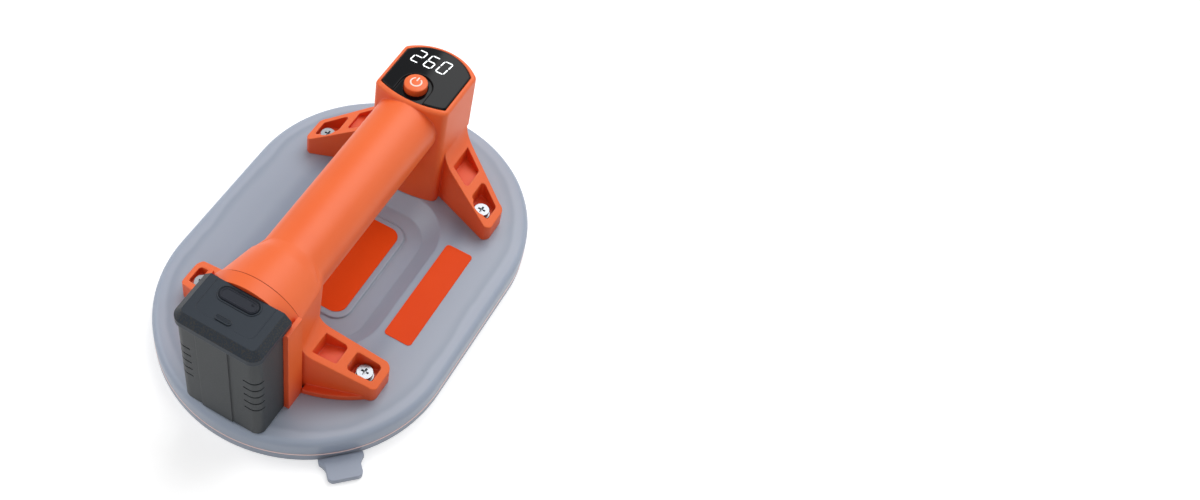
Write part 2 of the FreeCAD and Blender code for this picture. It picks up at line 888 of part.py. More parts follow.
def make_handle():
    """One moulding: grip tube, two towers and four ribbed legs, open at its foot and ends."""
    body = new_body("handle_frame")
    foot = at.plate_top

    tower = new_sketch(body, "XY_Plane", "front_tower_plan", foot)
    tower_barrel(tower, ZERO)
    pad(body, tower, "front_tower", at.front_top - foot)
    dress(body, "Fillet", "front_tower_corners", at.front_edge_round, upright)
    dress(body, "Fillet", "front_tower_brow", at.front_top_round, lambda edge: level_at(edge, at.front_top))
    reach = at.front_half_wide * 2
    nose = new_sketch(body, "XZ_Plane", "nose_cut_outline", -reach)
    rectangle(nose, at.cover_seat, at.front_nose_mid * 2, ZERO, at.cover_high)
    pocket(body, nose, "nose_cut", reach * 2, onward=True)

    plans = new_sketch(body, "XY_Plane", "leg_plans", foot)
    corner = at.leg_tip_corner
    for leg in legs:
        for side in (1, -1):
            low, high = along_leg(leg, ZERO, leg_tip_side - corner)
            mirrored_outline(plans, side, [
                (leg[0], at.leg_root_side - at.shell_wall), (leg[0], at.leg_root_side),
                (low, leg_tip_side - corner),
                (low + corner, leg_tip_side, at.leg_tip_arc, True), (high - corner, leg_tip_side),
                (high, leg_tip_side - corner, at.leg_tip_arc, True), (leg[1], at.leg_root_side),
                (leg[1], at.leg_root_side - at.shell_wall)])
    pad(body, plans, "leg_blocks", at.leg_rise_top - foot)
    slope = new_sketch(body, "YZ_Plane", "front_slope_outline")
    for side in (1, -1):
        slope_cut(slope, side, at.front_half_wide, at.front_half_wide)
    pocket(body, slope, "front_leg_slopes", at.front_nose_mid * 2, onward=True)
    taper = (at.rear_half_wide - at.neck_half_wide) / (at.rear_front_x - at.rear_back_x)
    for name, side in (("left", 1), ("right", -1)):
        ends = []
        for place_name, x in (("rear", at.rear_leg_root_back - at.shell_wall),
                              ("front", at.rear_leg_tip_nose + at.shell_wall)):
            slope = new_sketch(body, "YZ_Plane", "%s_%s_slope_outline" % (name, place_name), x)
            slope_cut(slope, side, at.rear_half_wide, at.rear_half_wide - (x - at.rear_back_x) * taper)
            ends.append(slope)
        loft(body, "SubtractiveLoft", name + "_rear_leg_slope", ends[0], ends[1])

    rear = new_sketch(body, "YZ_Plane", "rear_tower_section", at.rear_back_x)
    tower_arch(rear, ZERO, foot)
    neck = new_sketch(body, "YZ_Plane", "neck_section", at.rear_front_x)
    neck_arch(neck, ZERO, foot)
    loft(body, "AdditiveLoft", "rear_tower", rear, neck)
    grip = new_sketch(body, "YZ_Plane", "grip_section", at.grip_rear)
    crowned(grip, at.grip_half_wide, at.grip_top, at.grip_corner, at.grip_crown, at.grip_bottom,
            at.grip_under_corner)
    pad(body, grip, "grip_tube", at.front_rear_corner - at.grip_rear)
    flare = new_sketch(body, "YZ_Plane", "flare_section", at.rear_front_x)
    crowned(flare, at.neck_half_wide, at.neck_top, at.neck_corner, at.neck_crown, at.rear_throat,
            at.rear_throat_corner)
    flare_end = new_sketch(body, "YZ_Plane", "flare_end_section", at.grip_rear)
    crowned(flare_end, at.grip_half_wide, at.grip_top, at.grip_corner, at.grip_crown, at.grip_bottom,
            at.grip_under_corner)
    loft(body, "AdditiveLoft", "grip_flare", flare, flare_end)

    ledges = new_sketch(body, "XY_Plane", "ledge_plans", foot)
    ledge_tip_side = leg_tip_side - at.ledge_tip_back
    for leg, root_x, tip_x, bow in (
            (legs[0], at.cover_seat + at.ledge_root, at.front_leg_tip_nose + at.ledge_tip, False),
            (legs[1], at.rear_leg_root_back - at.ledge_root, at.rear_leg_tip_back + at.ledge_tip, True)):
        for side in (1, -1):
            mirrored_outline(ledges, side, [
                ((leg[0] + leg[1]) / 2, at.ledge_root_side), (root_x, at.ledge_root_side),
                (tip_x, ledge_tip_side, at.ledge_arc, bow),
                ((leg[2] + leg[3]) / 2, ledge_tip_side - corner)])
    pad(body, ledges, "foot_ledges", at.ledge_tall)
    cut_leg_pockets(body)
    hollow_handle(body)
    keep(body)


def cut_leg_pockets(body):
    """Two pockets in each leg with a rib between them; the outer one seats the screw."""
    wall = at.pocket_wall
    corners = []
    for name, near, far, floor in (
            ("inner", at.pocket_inner_near, pocket_inner_far, at.pocket_inner_floor),
            ("outer", pocket_outer_near, pocket_outer_far, at.pocket_outer_floor)):
        sketch = new_sketch(body, "XY_Plane", name + "_pocket_plans", at.leg_rise_top)
        for leg in legs:
            near_low, near_high = along_leg(leg, wall, near)
            far_low, far_high = along_leg(leg, wall, far)
            plan = [(near_low, near), (far_low, far), (far_high, far), (near_high, near)]
            corners += [(x.value, y.value) for x, y in plan if y.value > at.pocket_inner_near.value]
            for side in (1, -1):
                mirrored_outline(sketch, side, plan)
        pocket(body, sketch, name + "_pockets", at.leg_rise_top - floor)

    def at_corner(edge):
        box = edge.BoundBox
        return upright(edge) and any(abs(box.XMin - x) < NEAR and abs(max(box.YMax, -box.YMin) - y) < NEAR
                                     for x, y in corners)

    dress(body, "Fillet", "pocket_corners", at.pocket_corner, at_corner)
    seats = new_sketch(body, "XY_Plane", "washer_seat_plans", at.leg_rise_top)
    for x, y in screw_spots:
        circle(seats, x, y, at.washer_outer + at.washer_room)
    pocket(body, seats, "washer_seats", at.leg_rise_top - at.pocket_outer_floor)
    holes = new_sketch(body, "XY_Plane", "screw_hole_plans", at.leg_rise_top)
    for x, y in screw_spots:
        circle(holes, x, y, at.screw_shank + at.fit_gap)
    pocket(body, holes, "screw_holes", at.leg_rise_top - at.plate_top)


def hollow_handle(body):
    """Open the towers from below and from their outer ends, and bore the grip between them."""
    wall = at.shell_wall
    foot = at.plate_top
    ceiling = ceiling_under
    room = new_sketch(body, "XY_Plane", "front_room_plan", foot)
    rectangle(room, at.front_rear_corner + wall, at.cover_seat - wall, wall - at.front_half_wide,
              at.front_half_wide - wall)
    pocket(body, room, "front_room", ceiling - foot, onward=True)
    door = new_sketch(body, "YZ_Plane", "front_door_outline", at.cover_seat)
    door_half = at.front_half_wide - wall * 2
    rectangle(door, -door_half, door_half, at.cover_low + at.cover_slope_tall + wall, at.cover_high - wall * 2)
    pocket(body, door, "front_door", wall * 2)
    back = new_sketch(body, "YZ_Plane", "rear_room_section", at.rear_back_x)
    tower_arch(back, wall, foot + wall)
    front = new_sketch(body, "YZ_Plane", "rear_room_end_section", at.rear_front_x - wall)
    neck_arch(front, wall, foot + wall)
    loft(body, "SubtractiveLoft", "rear_room", back, front)
    bore = new_sketch(body, "YZ_Plane", "grip_bore_section", at.rear_back_x)
    crowned(bore, at.grip_half_wide - wall, at.grip_top - wall, at.grip_corner - wall, at.grip_crown - wall,
            at.grip_bottom + wall, at.grip_under_corner - wall)
    pocket(body, bore, "grip_bore", at.front_rear_corner + wall * 2 - at.rear_back_x, onward=True)

    posts = new_sketch(body, "XY_Plane", "board_post_plans", ceiling)
    for x, y in board_spots:
        circle(posts, x, y, at.board_post)
        circle(posts, x, y, at.board_post / 2)
    pad(body, posts, "board_posts", ceiling - at.board_top, back=True)
    flange = new_sketch(body, "XY_Plane", "flange_room_plan", ceiling)
    circle(flange, at.button_x, at.button_side, at.button_radius + at.button_flange + at.running_gap)
    pocket(body, flange, "flange_room", at.button_flange_tall + at.button_travel + at.running_gap * 2)
    seat = new_sketch(body, "XY_Plane", "lens_seat_plan", at.front_top)
    tower_barrel(seat, at.lens_inset - at.fit_gap)
    pocket(body, seat, "lens_seat", at.lens_thick - at.lens_proud)
    window = new_sketch(body, "XY_Plane", "window_plan", at.front_top)
    rectangle(window, at.window_low, at.cover_seat - wall, -at.window_half, at.window_half)
    circle(window, at.button_x, at.button_side, at.button_radius + at.running_gap)
    pocket(body, window, "display_window", at.front_top - ceiling)


def make_front_cover():
    """Bowed cover that closes the front tower, sloped back at its foot."""
    body = new_body("front_cover")
    low = at.cover_low
    high = at.cover_high - at.running_gap
    plan = new_sketch(body, "XY_Plane", "cover_plan", low)
    tower_barrel(plan, ZERO)
    pad(body, plan, "cover_block", high - low)
    dress(body, "Fillet", "cover_corners", at.front_edge_round, upright)
    seat = at.cover_seat + at.fit_gap / 2
    reach = at.front_half_wide * 2
    back = new_sketch(body, "XZ_Plane", "cover_back_outline", -reach)
    rectangle(back, ZERO, seat, low - at.shell_wall, high + at.shell_wall)
    pocket(body, back, "cover_back", reach * 2, onward=True)
    slope = new_sketch(body, "XZ_Plane", "cover_slope_outline", -reach)
    front = at.front_nose_mid
    outline(slope, [(front - at.cover_slope_deep, low - at.shell_wall), (front - at.cover_slope_deep, low),
                    (front + at.shell_wall, low + at.cover_slope_tall), (front + at.shell_wall, low - at.shell_wall)])
    pocket(body, slope, "cover_slope", reach * 2, onward=True)
    wall = at.shell_wall
    room_low = low + at.cover_slope_tall + wall
    room = new_sketch(body, "XY_Plane", "cover_room_plan", room_low)
    tower_barrel(room, wall)
    pocket(body, room, "cover_room", high - wall * 2 - room_low, onward=True)
    keep(body)


# Fasteners

def make_screw(name, spot, shank, head, head_tall, length, axis="Z", back=False):
    """Pan head screw with a cross recess; the head starts at the spot and the shank runs back."""
    x, y, z = spot
    sign = -1 if back else 1
    lengthwise = {"X": (1, 0, 0), "Y": (0, 1, 0), "Z": (0, 0, 1)}[axis]

    def moved(distance):
        return tuple(value + distance * (part * sign) for value, part in zip((x, y, z), lengthwise))

    def bar(suffix, first, radius, run):
        start = moved(first + run) if back else moved(first)
        return rod(name + suffix, start, radius, run, axis)

    cap = bar("_head", ZERO, head, head_tall)
    stem = bar("_shank", -length, shank, length)
    whole = fused(name + "_blank", [cap, stem])
    deep = at.screw_drive_deep
    half = head / 2
    slim = half / at.drive_ratio
    arms = []
    for number, wide in enumerate(((half, slim), (slim, half))):
        spans = iter(wide)
        low = []
        high = []
        for value, part in zip(moved(head_tall - deep), lengthwise):
            reach = deep * 2 * sign if part else next(spans)
            low.append(value if part else value - reach)
            high.append(value + reach)
        pairs = [sorted(pair, key=lambda size: size.value) for pair in zip(low, high)]
        arms.append(block("%s_arm_%d" % (name, number), [pair[0] for pair in pairs], [pair[1] for pair in pairs]))
    return less(name, whole, fused(name + "_recess", arms))


def make_leg_fasteners():
    """Four screws with washers, each in a threaded insert of the plate."""
    screws = []
    washers = []
    inserts = []
    floor = at.pocket_outer_floor
    for number, (x, y) in enumerate(screw_spots):
        name = "leg_screw_%d" % number
        top = floor + at.washer_thick
        screws.append(make_screw(name, (x, y, top), at.screw_shank, at.screw_head, at.screw_head_tall,
                                 at.screw_long))
        washers.append(less("leg_washer_%d" % number,
                            rod(name + "_washer_disc", (x, y, floor), at.washer_outer, at.washer_thick),
                            rod(name + "_washer_hole", (x, y, floor), at.screw_shank + at.shaft_gap,
                                at.washer_thick)))
        low = at.plate_top - at.insert_long
        inserts.append(less("insert_%d" % number,
                            rod(name + "_insert_body", (x, y, low), at.insert_radius, at.insert_long),
                            rod(name + "_insert_bore", (x, y, low), at.screw_shank + at.shaft_gap,
                                at.insert_long)))
    keep(group("leg_screws", screws))
    keep(group("leg_washers", washers))
    keep(group("threaded_inserts", inserts))


# Display, button and control board

def make_display():
    """Dark lens with a well round the button, and the digit module under it."""
    body = new_body("display_lens")
    plan = new_sketch(body, "XY_Plane", "lens_plan", lens_under)
    tower_barrel(plan, at.lens_inset)
    pad(body, plan, "lens_sheet", at.lens_thick)
    dress(body, "Fillet", "lens_corners", at.lens_corner, upright)
    dress(body, "Chamfer", "lens_bevel", at.lens_edge / 2, lambda edge: level_at(edge, lens_top))
    well = new_sketch(body, "XY_Plane", "well_plan", lens_top)
    half = at.lens_well_half
    middle = at.button_side
    outline(well, [(at.front_rear_mid, middle + half), (at.front_rear_mid, middle - half),
                   (at.button_x, middle - half), (at.button_x + half, middle, half, False),
                   (at.button_x, middle + half, half, False)])
    pocket(body, well, "button_well", at.lens_well_deep)
    hole = new_sketch(body, "XY_Plane", "lens_button_hole", lens_top)
    circle(hole, at.button_x, middle, at.button_radius + at.running_gap)
    pocket(body, hole, "button_hole", at.lens_thick)
    keep(body)
    gap = at.module_inset
    module_low = at.board_top
    keep(block("display_module", (at.window_low + gap, gap - at.window_half, module_low),
               (at.cover_seat - at.shell_wall - gap, at.window_half - gap, module_low + at.module_tall)))


def make_button():
    """Sprung power button: domed cap, skirt with a stop flange, and a stem over the switch."""
    body = new_body("power_button")
    profile = new_sketch(body, "XZ_Plane", "button_profile")
    outer = at.button_radius
    inner = outer - at.button_wall
    shoulder = button_top - at.button_dome
    dome = (outer * outer + at.button_dome * at.button_dome) / (at.button_dome * 2)
    roof = button_top - at.button_roof
    flange_top = ceiling_under - at.running_gap
    flange_low = flange_top - at.button_flange_tall
    stem_low = at.board_top + at.switch_tall + at.switch_plunger_tall + at.button_travel + at.running_gap
    outline(profile, [(ZERO, stem_low), (at.button_stem, stem_low), (at.button_stem, roof), (inner, roof),
                      (inner, flange_low), (outer + at.button_flange, flange_low),
                      (outer + at.button_flange, flange_top), (outer, flange_top), (outer, shoulder),
                      (ZERO, button_top, dome, False)])
    turn = body.newObject("PartDesign::Revolution", "button_turned")
    turn.Profile = profile
    turn.ReferenceAxis = (profile, ["V_Axis"])
    turn.Angle = FULL_TURN
    x = at.button_x
    y = at.button_side
    place(body, (x, y, ZERO))
    keep(body)
    half = at.switch_half
    top = at.board_top + at.switch_tall
    switch = fused("button_switch", [
        block("switch_case", (x - half, y - half, at.board_top), (x + half, y + half, top)),
        rod("switch_plunger", (x, y, top), at.switch_plunger, at.switch_plunger_tall)])
    keep(switch)


def make_board():
    """Control board on four posts under the tower ceiling, with its parts and screws."""
    low = at.board_low_x
    high = board_high_x
    half = at.board_half_wide
    plate = block("board_plate", (low, -half, board_under), (high, half, at.board_top))
    holes = [rod("board_hole_%d" % number, (x, y, board_under), at.board_post / 2, at.board_thick)
             for number, (x, y) in enumerate(board_spots)]
    keep(less("control_board", plate, fused("board_holes", holes)))
    screws = [make_screw("board_screw_%d" % number, (x, y, board_under), at.board_screw_shank,
                         at.board_screw_head, at.board_thick, ceiling_under - board_under, back=True)
              for number, (x, y) in enumerate(board_spots)]
    keep(group("board_screws", screws))
    chip = at.chip_half
    middle = (low + high) / 2
    chips = [block("chip_%d" % number, (middle - chip, y - chip, board_under - at.chip_tall),
                   (middle + chip, y + chip, board_under))
             for number, y in enumerate((-chip * 2, chip * 2))]
    keep(group("board_chips", chips))


# Vacuum pump in the grip

bore_low = at.grip_bottom + at.shell_wall
bore_high = at.grip_top - at.shell_wall
pump_axis = (bore_low + bore_high) / 2
motor_front = at.motor_rear + at.motor_long
pump_front = motor_front + at.pump_long
cover_front = pump_front + at.pump_cover_long


def ring_cut(name, base, spot, radius, length, axis):
    """Bore a round hole into a solid."""
    return less(name, base, rod(name + "_tool", spot, radius, length, axis))


def make_motor():
    """Motor can, its rear cap, and the turning armature, shaft and crank."""
    rear = at.motor_rear
    wall = at.motor_wall
    cap = at.motor_cap_thick
    can_rear = rear + cap
    can = rod("can_outer", (can_rear, ZERO, pump_axis), at.motor_radius, at.motor_long - cap, "X")
    inside = ring_cut("can_shell", can, (can_rear, ZERO, pump_axis), at.motor_radius - wall,
                      at.motor_long - cap - wall, "X")
    bearing = at.shaft_radius + at.shaft_gap
    keep(ring_cut("motor_can", inside, (can_rear, ZERO, pump_axis), bearing, at.motor_long, "X"))
    end = rod("cap_disc", (rear, ZERO, pump_axis), at.motor_radius - wall, cap, "X")
    keep(ring_cut("motor_end_cap", end, (rear, ZERO, pump_axis), bearing, cap, "X"))
    middle = (can_rear + motor_front) / 2
    shaft_rear = rear - wall
    keep(rod("motor_shaft", (shaft_rear, ZERO, pump_axis), at.shaft_radius, motor_front + at.shaft_out - shaft_rear, "X"))
    core_start = middle - at.armature_long / 2
    core = rod("armature_core", (core_start, ZERO, pump_axis), at.armature_radius, at.armature_long, "X")
    slots = []
    count = int(at.armature_slots.value)
    for step in range(count):
        slot = block("armature_slot_%d" % step, (core_start, -wall, pump_axis + at.shaft_radius * 2),
                     (core_start + at.armature_long, wall, pump_axis + at.armature_radius + wall))
        turned = doc.addObject("Part::Feature", "armature_slot_turned_%d" % step)
        doc.recompute()
        turned.Shape = slot.Shape.rotated(FreeCAD.Vector(0, 0, pump_axis.value), FreeCAD.Vector(1, 0, 0),
                                          FULL_TURN * step / count)
        slots.append(turned)
    slotted = less("armature_slotted", core, fused("armature_slots", slots))
    keep(ring_cut("armature", slotted, (core_start, ZERO, pump_axis), at.shaft_radius, at.armature_long, "X"))
    crank_start = motor_front + at.shaft_out - at.crank_long
    disc = rod("crank_disc", (crank_start, ZERO, pump_axis + at.crank_offset), at.crank_radius, at.crank_long, "X")
    keep(ring_cut("pump_crank", disc, (crank_start, ZERO, pump_axis), at.shaft_radius, at.crank_long, "X"))


def make_pump():
    """Diaphragm pump head on the motor: housing, wobble plate, diaphragm and valve cover."""
    half = at.pump_half
    barb_sides = (ZERO, -at.barb_spacing)
    low = (motor_front, -half, pump_axis - half)
    housing = block("pump_block", low, (pump_front, half, pump_axis + half))
    room_start = motor_front + at.shell_wall
    room = ring_cut("pump_room", housing, (room_start, ZERO, pump_axis), at.crank_room,
                    pump_front - room_start, "X")
    seat = ring_cut("pump_seat", room, (pump_front - at.diaphragm_thick, ZERO, pump_axis),
                    at.diaphragm_radius + at.shaft_gap, at.diaphragm_thick, "X")
    keep(ring_cut("pump_head", seat, (motor_front, ZERO, pump_axis), at.shaft_radius * 2, at.shell_wall, "X"))
    disc_start = pump_front - at.diaphragm_thick
    keep(rod("diaphragm", (disc_start, ZERO, pump_axis), at.diaphragm_radius, at.diaphragm_thick, "X"))
    keep(rod("wobble_plate", (disc_start - at.wobble_thick, ZERO, pump_axis), at.wobble_radius,
             at.wobble_thick, "X"))
    cover = block("pump_cover_block", (pump_front, -half, pump_axis - half),
                  (cover_front, half, pump_axis + half))
    barbs = [rod("pump_barb_%d" % number, (cover_front, y, pump_axis), at.barb_radius, at.barb_long, "X")
             for number, y in enumerate(barb_sides)]
    whole = fused("pump_cover_blank", [cover] + barbs)
    bores = [rod("pump_bore_%d" % number, (pump_front + at.shell_wall, y, pump_axis), at.barb_bore,
                 at.pump_cover_long + at.barb_long, "X") for number, y in enumerate(barb_sides)]
    keep(less("pump_cover", whole, fused("pump_bores", bores)))
    pads = []
    for number, start in enumerate((motor_front + at.shell_wall, cover_front - at.pump_pad_long)):
        for side, (first, last) in (("low", (bore_low, pump_axis - half)), ("top", (pump_axis + half, bore_high))):
            reach = at.pump_pad_half
            last = last if side == "low" else last - at.fit_gap * 2
            pads.append(block("pump_pad_%s_%d" % (side, number), (start, -reach, first),
                              (start + at.pump_pad_long, reach, last)))
    keep(group("pump_pads", pads))


def tube_path(points, bends):
    """Return a wire of straight runs joined by tangent arcs, one bend radius per inner point."""
    edges = []
    start = points[0]
    for before, corner, after, bend in zip(points, points[1:], points[2:], bends):
        inward = (before - corner).normalize()
        onward = (after - corner).normalize()
        half_turn = (math.pi - inward.getAngle(onward)) / 2
        trim = bend * math.tan(half_turn)
        first = corner + inward * trim
        last = corner + onward * trim
        middle = corner + (inward + onward).normalize() * (bend / math.cos(half_turn) - bend)
        edges.append(Part.LineSegment(start, first).toShape())
        edges.append(Part.Arc(first, middle, last).toShape())
        start = last
    edges.append(Part.LineSegment(start, points[-1]).toShape())
    return Part.Wire(edges)


def tube(path, radius):
    """Sweep a round section along a path."""
    edge = path.Edges[0]
    start = edge.valueAt(edge.FirstParameter)
    ring = Part.Wire(Part.makeCircle(radius, start, edge.tangentAt(edge.FirstParameter)))
    return path.makePipeShell([ring], True, False)


def make_hose():
    """Vacuum hose from the manifold up the front tower and back into the grip."""
    low = at.plate_top + at.manifold_tall
    first = low + at.barb_cover
    points = [FreeCAD.Vector(at.hose_riser_x.value, 0, first.value),
              FreeCAD.Vector(at.hose_riser_x.value, 0, pump_axis.value),
              FreeCAD.Vector((cover_front + at.barb_cover).value, 0, pump_axis.value)]
    path = tube_path(points, [at.hose_bend.value])
    outer = tube(path, at.hose_outer.value)
    inner = tube(path, at.barb_radius.value)
    hose = doc.addObject("Part::Feature", "vacuum_hose")
    hose.Shape = outer.cut(inner)
    keep(hose)
    length = path.Length
    volume = math.pi * (at.hose_outer.value ** 2 - at.barb_radius.value ** 2) * length
    print("hose length %.1f, volume %.0f against %.0f" % (length, hose.Shape.Volume, volume))


def make_manifold():
    """Vacuum manifold over the plate port, with its filter, pressure sensor and release valve."""
    low = at.plate_top
    top = low + at.manifold_tall
    half = at.manifold_half
    base = block("manifold_block", (at.manifold_low_x, -half, low), (at.manifold_high_x, half, top))
    barb = rod("manifold_barb", (at.hose_riser_x, ZERO, top), at.barb_radius, at.barb_long)
    whole = fused("manifold_blank", [base, barb])
    middle = low + at.manifold_tall / 2
    bores = fused("manifold_bores", [
        rod("manifold_port", (at.port_x, ZERO, low), at.port_bore, at.manifold_tall / 2),
        rod("manifold_gallery", (at.hose_riser_x, ZERO, middle), at.gallery_bore,
            at.valve_x - at.hose_riser_x, "X"),
        rod("manifold_riser", (at.hose_riser_x, ZERO, middle), at.barb_bore, at.manifold_tall + at.barb_long),
        rod("manifold_vent", (at.valve_x, ZERO, middle), at.barb_bore, at.manifold_tall)])
    keep(less("manifold", whole, bores))
    keep(rod("inlet_filter", (at.port_x, ZERO, plate_under), at.filter_radius, at.filter_thick))
    sensor = at.sensor_half
    sensor_low = low + at.sensor_lift
    keep(block("pressure_sensor", (at.port_x - sensor, half, sensor_low),
               (at.port_x + sensor, half + at.sensor_tall, sensor_low + at.sensor_high)))

    x = at.valve_x
    wide = at.valve_half
    frame = block("valve_block", (x - wide, -wide, top), (x + wide, wide, top + at.valve_tall))
    wall = at.valve_wall
    bore = at.plunger_radius + at.shaft_gap
    room = rod("valve_room", (x, ZERO, top), bore, at.valve_tall - wall)
    keep(less("release_valve", frame, room))
    seat = top + at.fit_gap
    plunger = rod("plunger_rod", (x, ZERO, seat), at.plunger_radius, at.plunger_long)
    pocket_deep = at.plunger_pocket
    keep(less("valve_plunger", plunger,
              rod("plunger_pocket", (x, ZERO, seat + at.plunger_long - pocket_deep),
                  at.spring_radius + at.spring_wire * 2, pocket_deep)))
    spring_low = seat + at.plunger_long - pocket_deep
    spring_high = top + at.valve_tall - wall
    helix_tall = spring_high - spring_low - at.spring_wire * 2
    helix = doc.addObject("Part::Helix", "spring_line")
    helix.setExpression("Radius", at.spring_radius.text)
    helix.setExpression("Height", helix_tall.text)
    helix.setExpression("Pitch", (helix_tall / at.spring_turns).text)
    ring = doc.addObject("Part::Circle", "spring_section")
    ring.setExpression("Radius", at.spring_wire.text)
    ring.Placement = FreeCAD.Placement(FreeCAD.Vector(at.spring_radius.value, 0, 0),
                                       FreeCAD.Rotation(FreeCAD.Vector(1, 0, 0), 90))
    ring.setExpression(".Placement.Base.x", at.spring_radius.text)
    spring = doc.addObject("Part::Sweep", "valve_spring")
    spring.Sections = [ring]
    doc.recompute()
    spring.Spine = (helix, ["Edge%d" % (index + 1) for index in range(len(helix.Shape.Edges))])
    spring.Solid = True
    spring.Frenet = True
    place(spring, (x, ZERO, spring_low + at.spring_wire))
    keep(spring)


# Battery dock and contacts

dock_back = at.rear_back_x - at.dock_deep
battery_front = dock_back - at.battery_gap
cell_low = at.battery_low + at.battery_wall + at.tray_floor
guard_low = cell_low + at.cell_tall + at.tray_lid
battery_split = guard_low + at.guard_thick + at.guard_room
cap_top = battery_split + at.cap_tall
rail_high = battery_split - at.rail_drop


def make_dock():
    """Arched dock shell behind the rear tower, with two lipped rails and a sill."""
    body = new_body("battery_dock")
    foot = at.plate_top
    shell = new_sketch(body, "YZ_Plane", "dock_section", dock_back)
    half = at.rear_half_wide + at.dock_lap
    top = at.rear_top + at.dock_step
    crown = at.rear_crown + at.dock_lap
    crowned(shell, half, top, at.rear_corner, crown, foot)
    pad(body, shell, "dock_shell", at.dock_deep)
    wall = at.shell_wall
    room = new_sketch(body, "YZ_Plane", "dock_room_section", dock_back + wall)
    crowned(room, half - wall, top - wall, at.rear_corner - wall, crown - wall, foot + wall)
    pocket(body, room, "dock_room", at.dock_deep, onward=True)
    rails = new_sketch(body, "XY_Plane", "rail_plans", foot)
    for side in (1, -1):
        mirrored_outline(rails, side, [
            (at.rail_front_x, at.rail_inner), (at.rail_front_x, at.rail_outer),
            (at.rail_back_x, at.rail_outer), (at.rail_back_x, at.rail_lip),
            (at.rail_back_x + at.rail_lip_thick, at.rail_lip),
            (at.rail_back_x + at.rail_lip_thick, at.rail_inner)])
    pad(body, rails, "rails", rail_high - foot)
    sill = new_sketch(body, "XY_Plane", "sill_plan", foot)
    rectangle(sill, at.rail_back_x, dock_back + wall, -at.rail_outer, at.rail_outer)
    pad(body, sill, "sill", at.sill_thick)
    slots = new_sketch(body, "YZ_Plane", "contact_slots", dock_back)
    for side in (1, -1):
        middle = at.contact_side * side
        rectangle(slots, middle - at.contact_half_thick, middle + at.contact_half_thick,
                  at.contact_low, at.contact_high)
        for high in (at.dock_screw_low, at.dock_screw_high):
            circle(slots, at.dock_screw_side * side, high, at.dock_screw_bore)
    pocket(body, slots, "dock_openings", wall, onward=True)
    keep(body)

    blades = [block("blade_%d" % number,
                    (dock_back - at.contact_reach, y - at.contact_half_thick, at.contact_low),
                    (at.rear_back_x + wall, y + at.contact_half_thick, at.contact_high))
              for number, y in enumerate((at.contact_side, -at.contact_side))]
    carrier = block("contact_carrier", (dock_back + wall, -at.carrier_half, at.contact_low - wall),
                    (at.rear_back_x - wall / 2, at.carrier_half, at.contact_high + wall))
    keep(less("contact_block", carrier, fused("blade_space", blades)))
    keep(group("dock_contacts", blades))
    screws = [make_screw("dock_screw_%d_%d" % (number, side), (dock_back + wall, at.dock_screw_side * side, high),
                         at.dock_screw_shank, at.dock_screw_head, at.screw_head_tall / 2, wall, "X")
              for number, high in enumerate((at.dock_screw_low, at.dock_screw_high)) for side in (1, -1)]
    keep(group("dock_screws", screws))


# Battery

battery_back = battery_front - at.battery_deep


def make_battery_case():
    """Battery tub with rail grooves, contact slots, finger notches and a raised rear panel."""
    body = new_body("battery_case")
    low = at.battery_low
    tall = battery_split - low
    half = at.battery_half_wide
    plan = new_sketch(body, "XY_Plane", "case_plan", low)
    rectangle(plan, battery_back, battery_front, -half, half)
    pad(body, plan, "case_block", tall)
    dress(body, "Fillet", "case_rear_corners", at.battery_corner,
          lambda edge: behind(edge, battery_back))
    dress(body, "Fillet", "case_front_corners", at.battery_front_corner,
          lambda edge: upright(edge) and not behind(edge, battery_front - at.battery_corner))
    panel = new_sketch(body, "YZ_Plane", "panel_outline", battery_back - at.battery_panel_thick)
    rectangle(panel, at.battery_panel_low, at.battery_panel_high, low, battery_split)
    pad(body, panel, "rear_panel", at.battery_panel_thick * 2)

    room = new_sketch(body, "XY_Plane", "case_room", battery_split)
    side_wall = at.battery_side_wall
    rectangle(room, battery_back + at.battery_wall, battery_front - at.battery_front_wall,
              side_wall - half, half - side_wall)
    pocket(body, room, "case_room_cut", tall - at.battery_wall)
    grooves = new_sketch(body, "XY_Plane", "rail_groove_plans", low)
    gap = at.running_gap
    for side in (1, -1):
        mirrored_outline(grooves, side, [
            (at.rail_back_x - gap, at.rail_lip - gap), (at.rail_back_x - gap, half + gap),
            (at.rail_back_x + at.rail_lip_thick + gap, half + gap),
            (at.rail_back_x + at.rail_lip_thick + gap, at.rail_lip - gap)])
    pocket(body, grooves, "rail_grooves", rail_high - low + gap, onward=True)
    slots = new_sketch(body, "XY_Plane", "slot_plans", low)
    for side in (1, -1):
        middle = at.contact_side * side
        rectangle(slots, battery_front - at.slot_deep, battery_front + gap,
                  middle - at.slot_half, middle + at.slot_half)
    pocket(body, slots, "contact_slots_cut", at.slot_high - low, onward=True)
    notches = new_sketch(body, "XY_Plane", "notch_plans", at.notch_first - at.notch_half_tall)
    deep = at.notch_deep
    corner = at.battery_corner
    for side in (1, -1):
        mirrored_outline(notches, side, [
            (battery_back - gap, at.notch_near), (battery_back + deep, at.notch_near),
            (battery_back + deep, half - corner), (battery_back + corner, half - deep, corner - deep, True),
            (battery_back + corner, half + gap), (battery_back - gap, half + gap)])
    first = pocket(body, notches, "finger_notch", at.notch_half_tall * 2, onward=True)
    doc.recompute()
    pattern = body.newObject("PartDesign::LinearPattern", "finger_notches")
    pattern.Originals = [first]
    pattern.Direction = (notches, ["N_Axis"])
    pattern.setExpression("Length", (at.notch_pitch * (at.notch_count - 1)).text)
    pattern.Occurrences = int(at.notch_count.value)
    body.Tip = pattern
    keep(body)


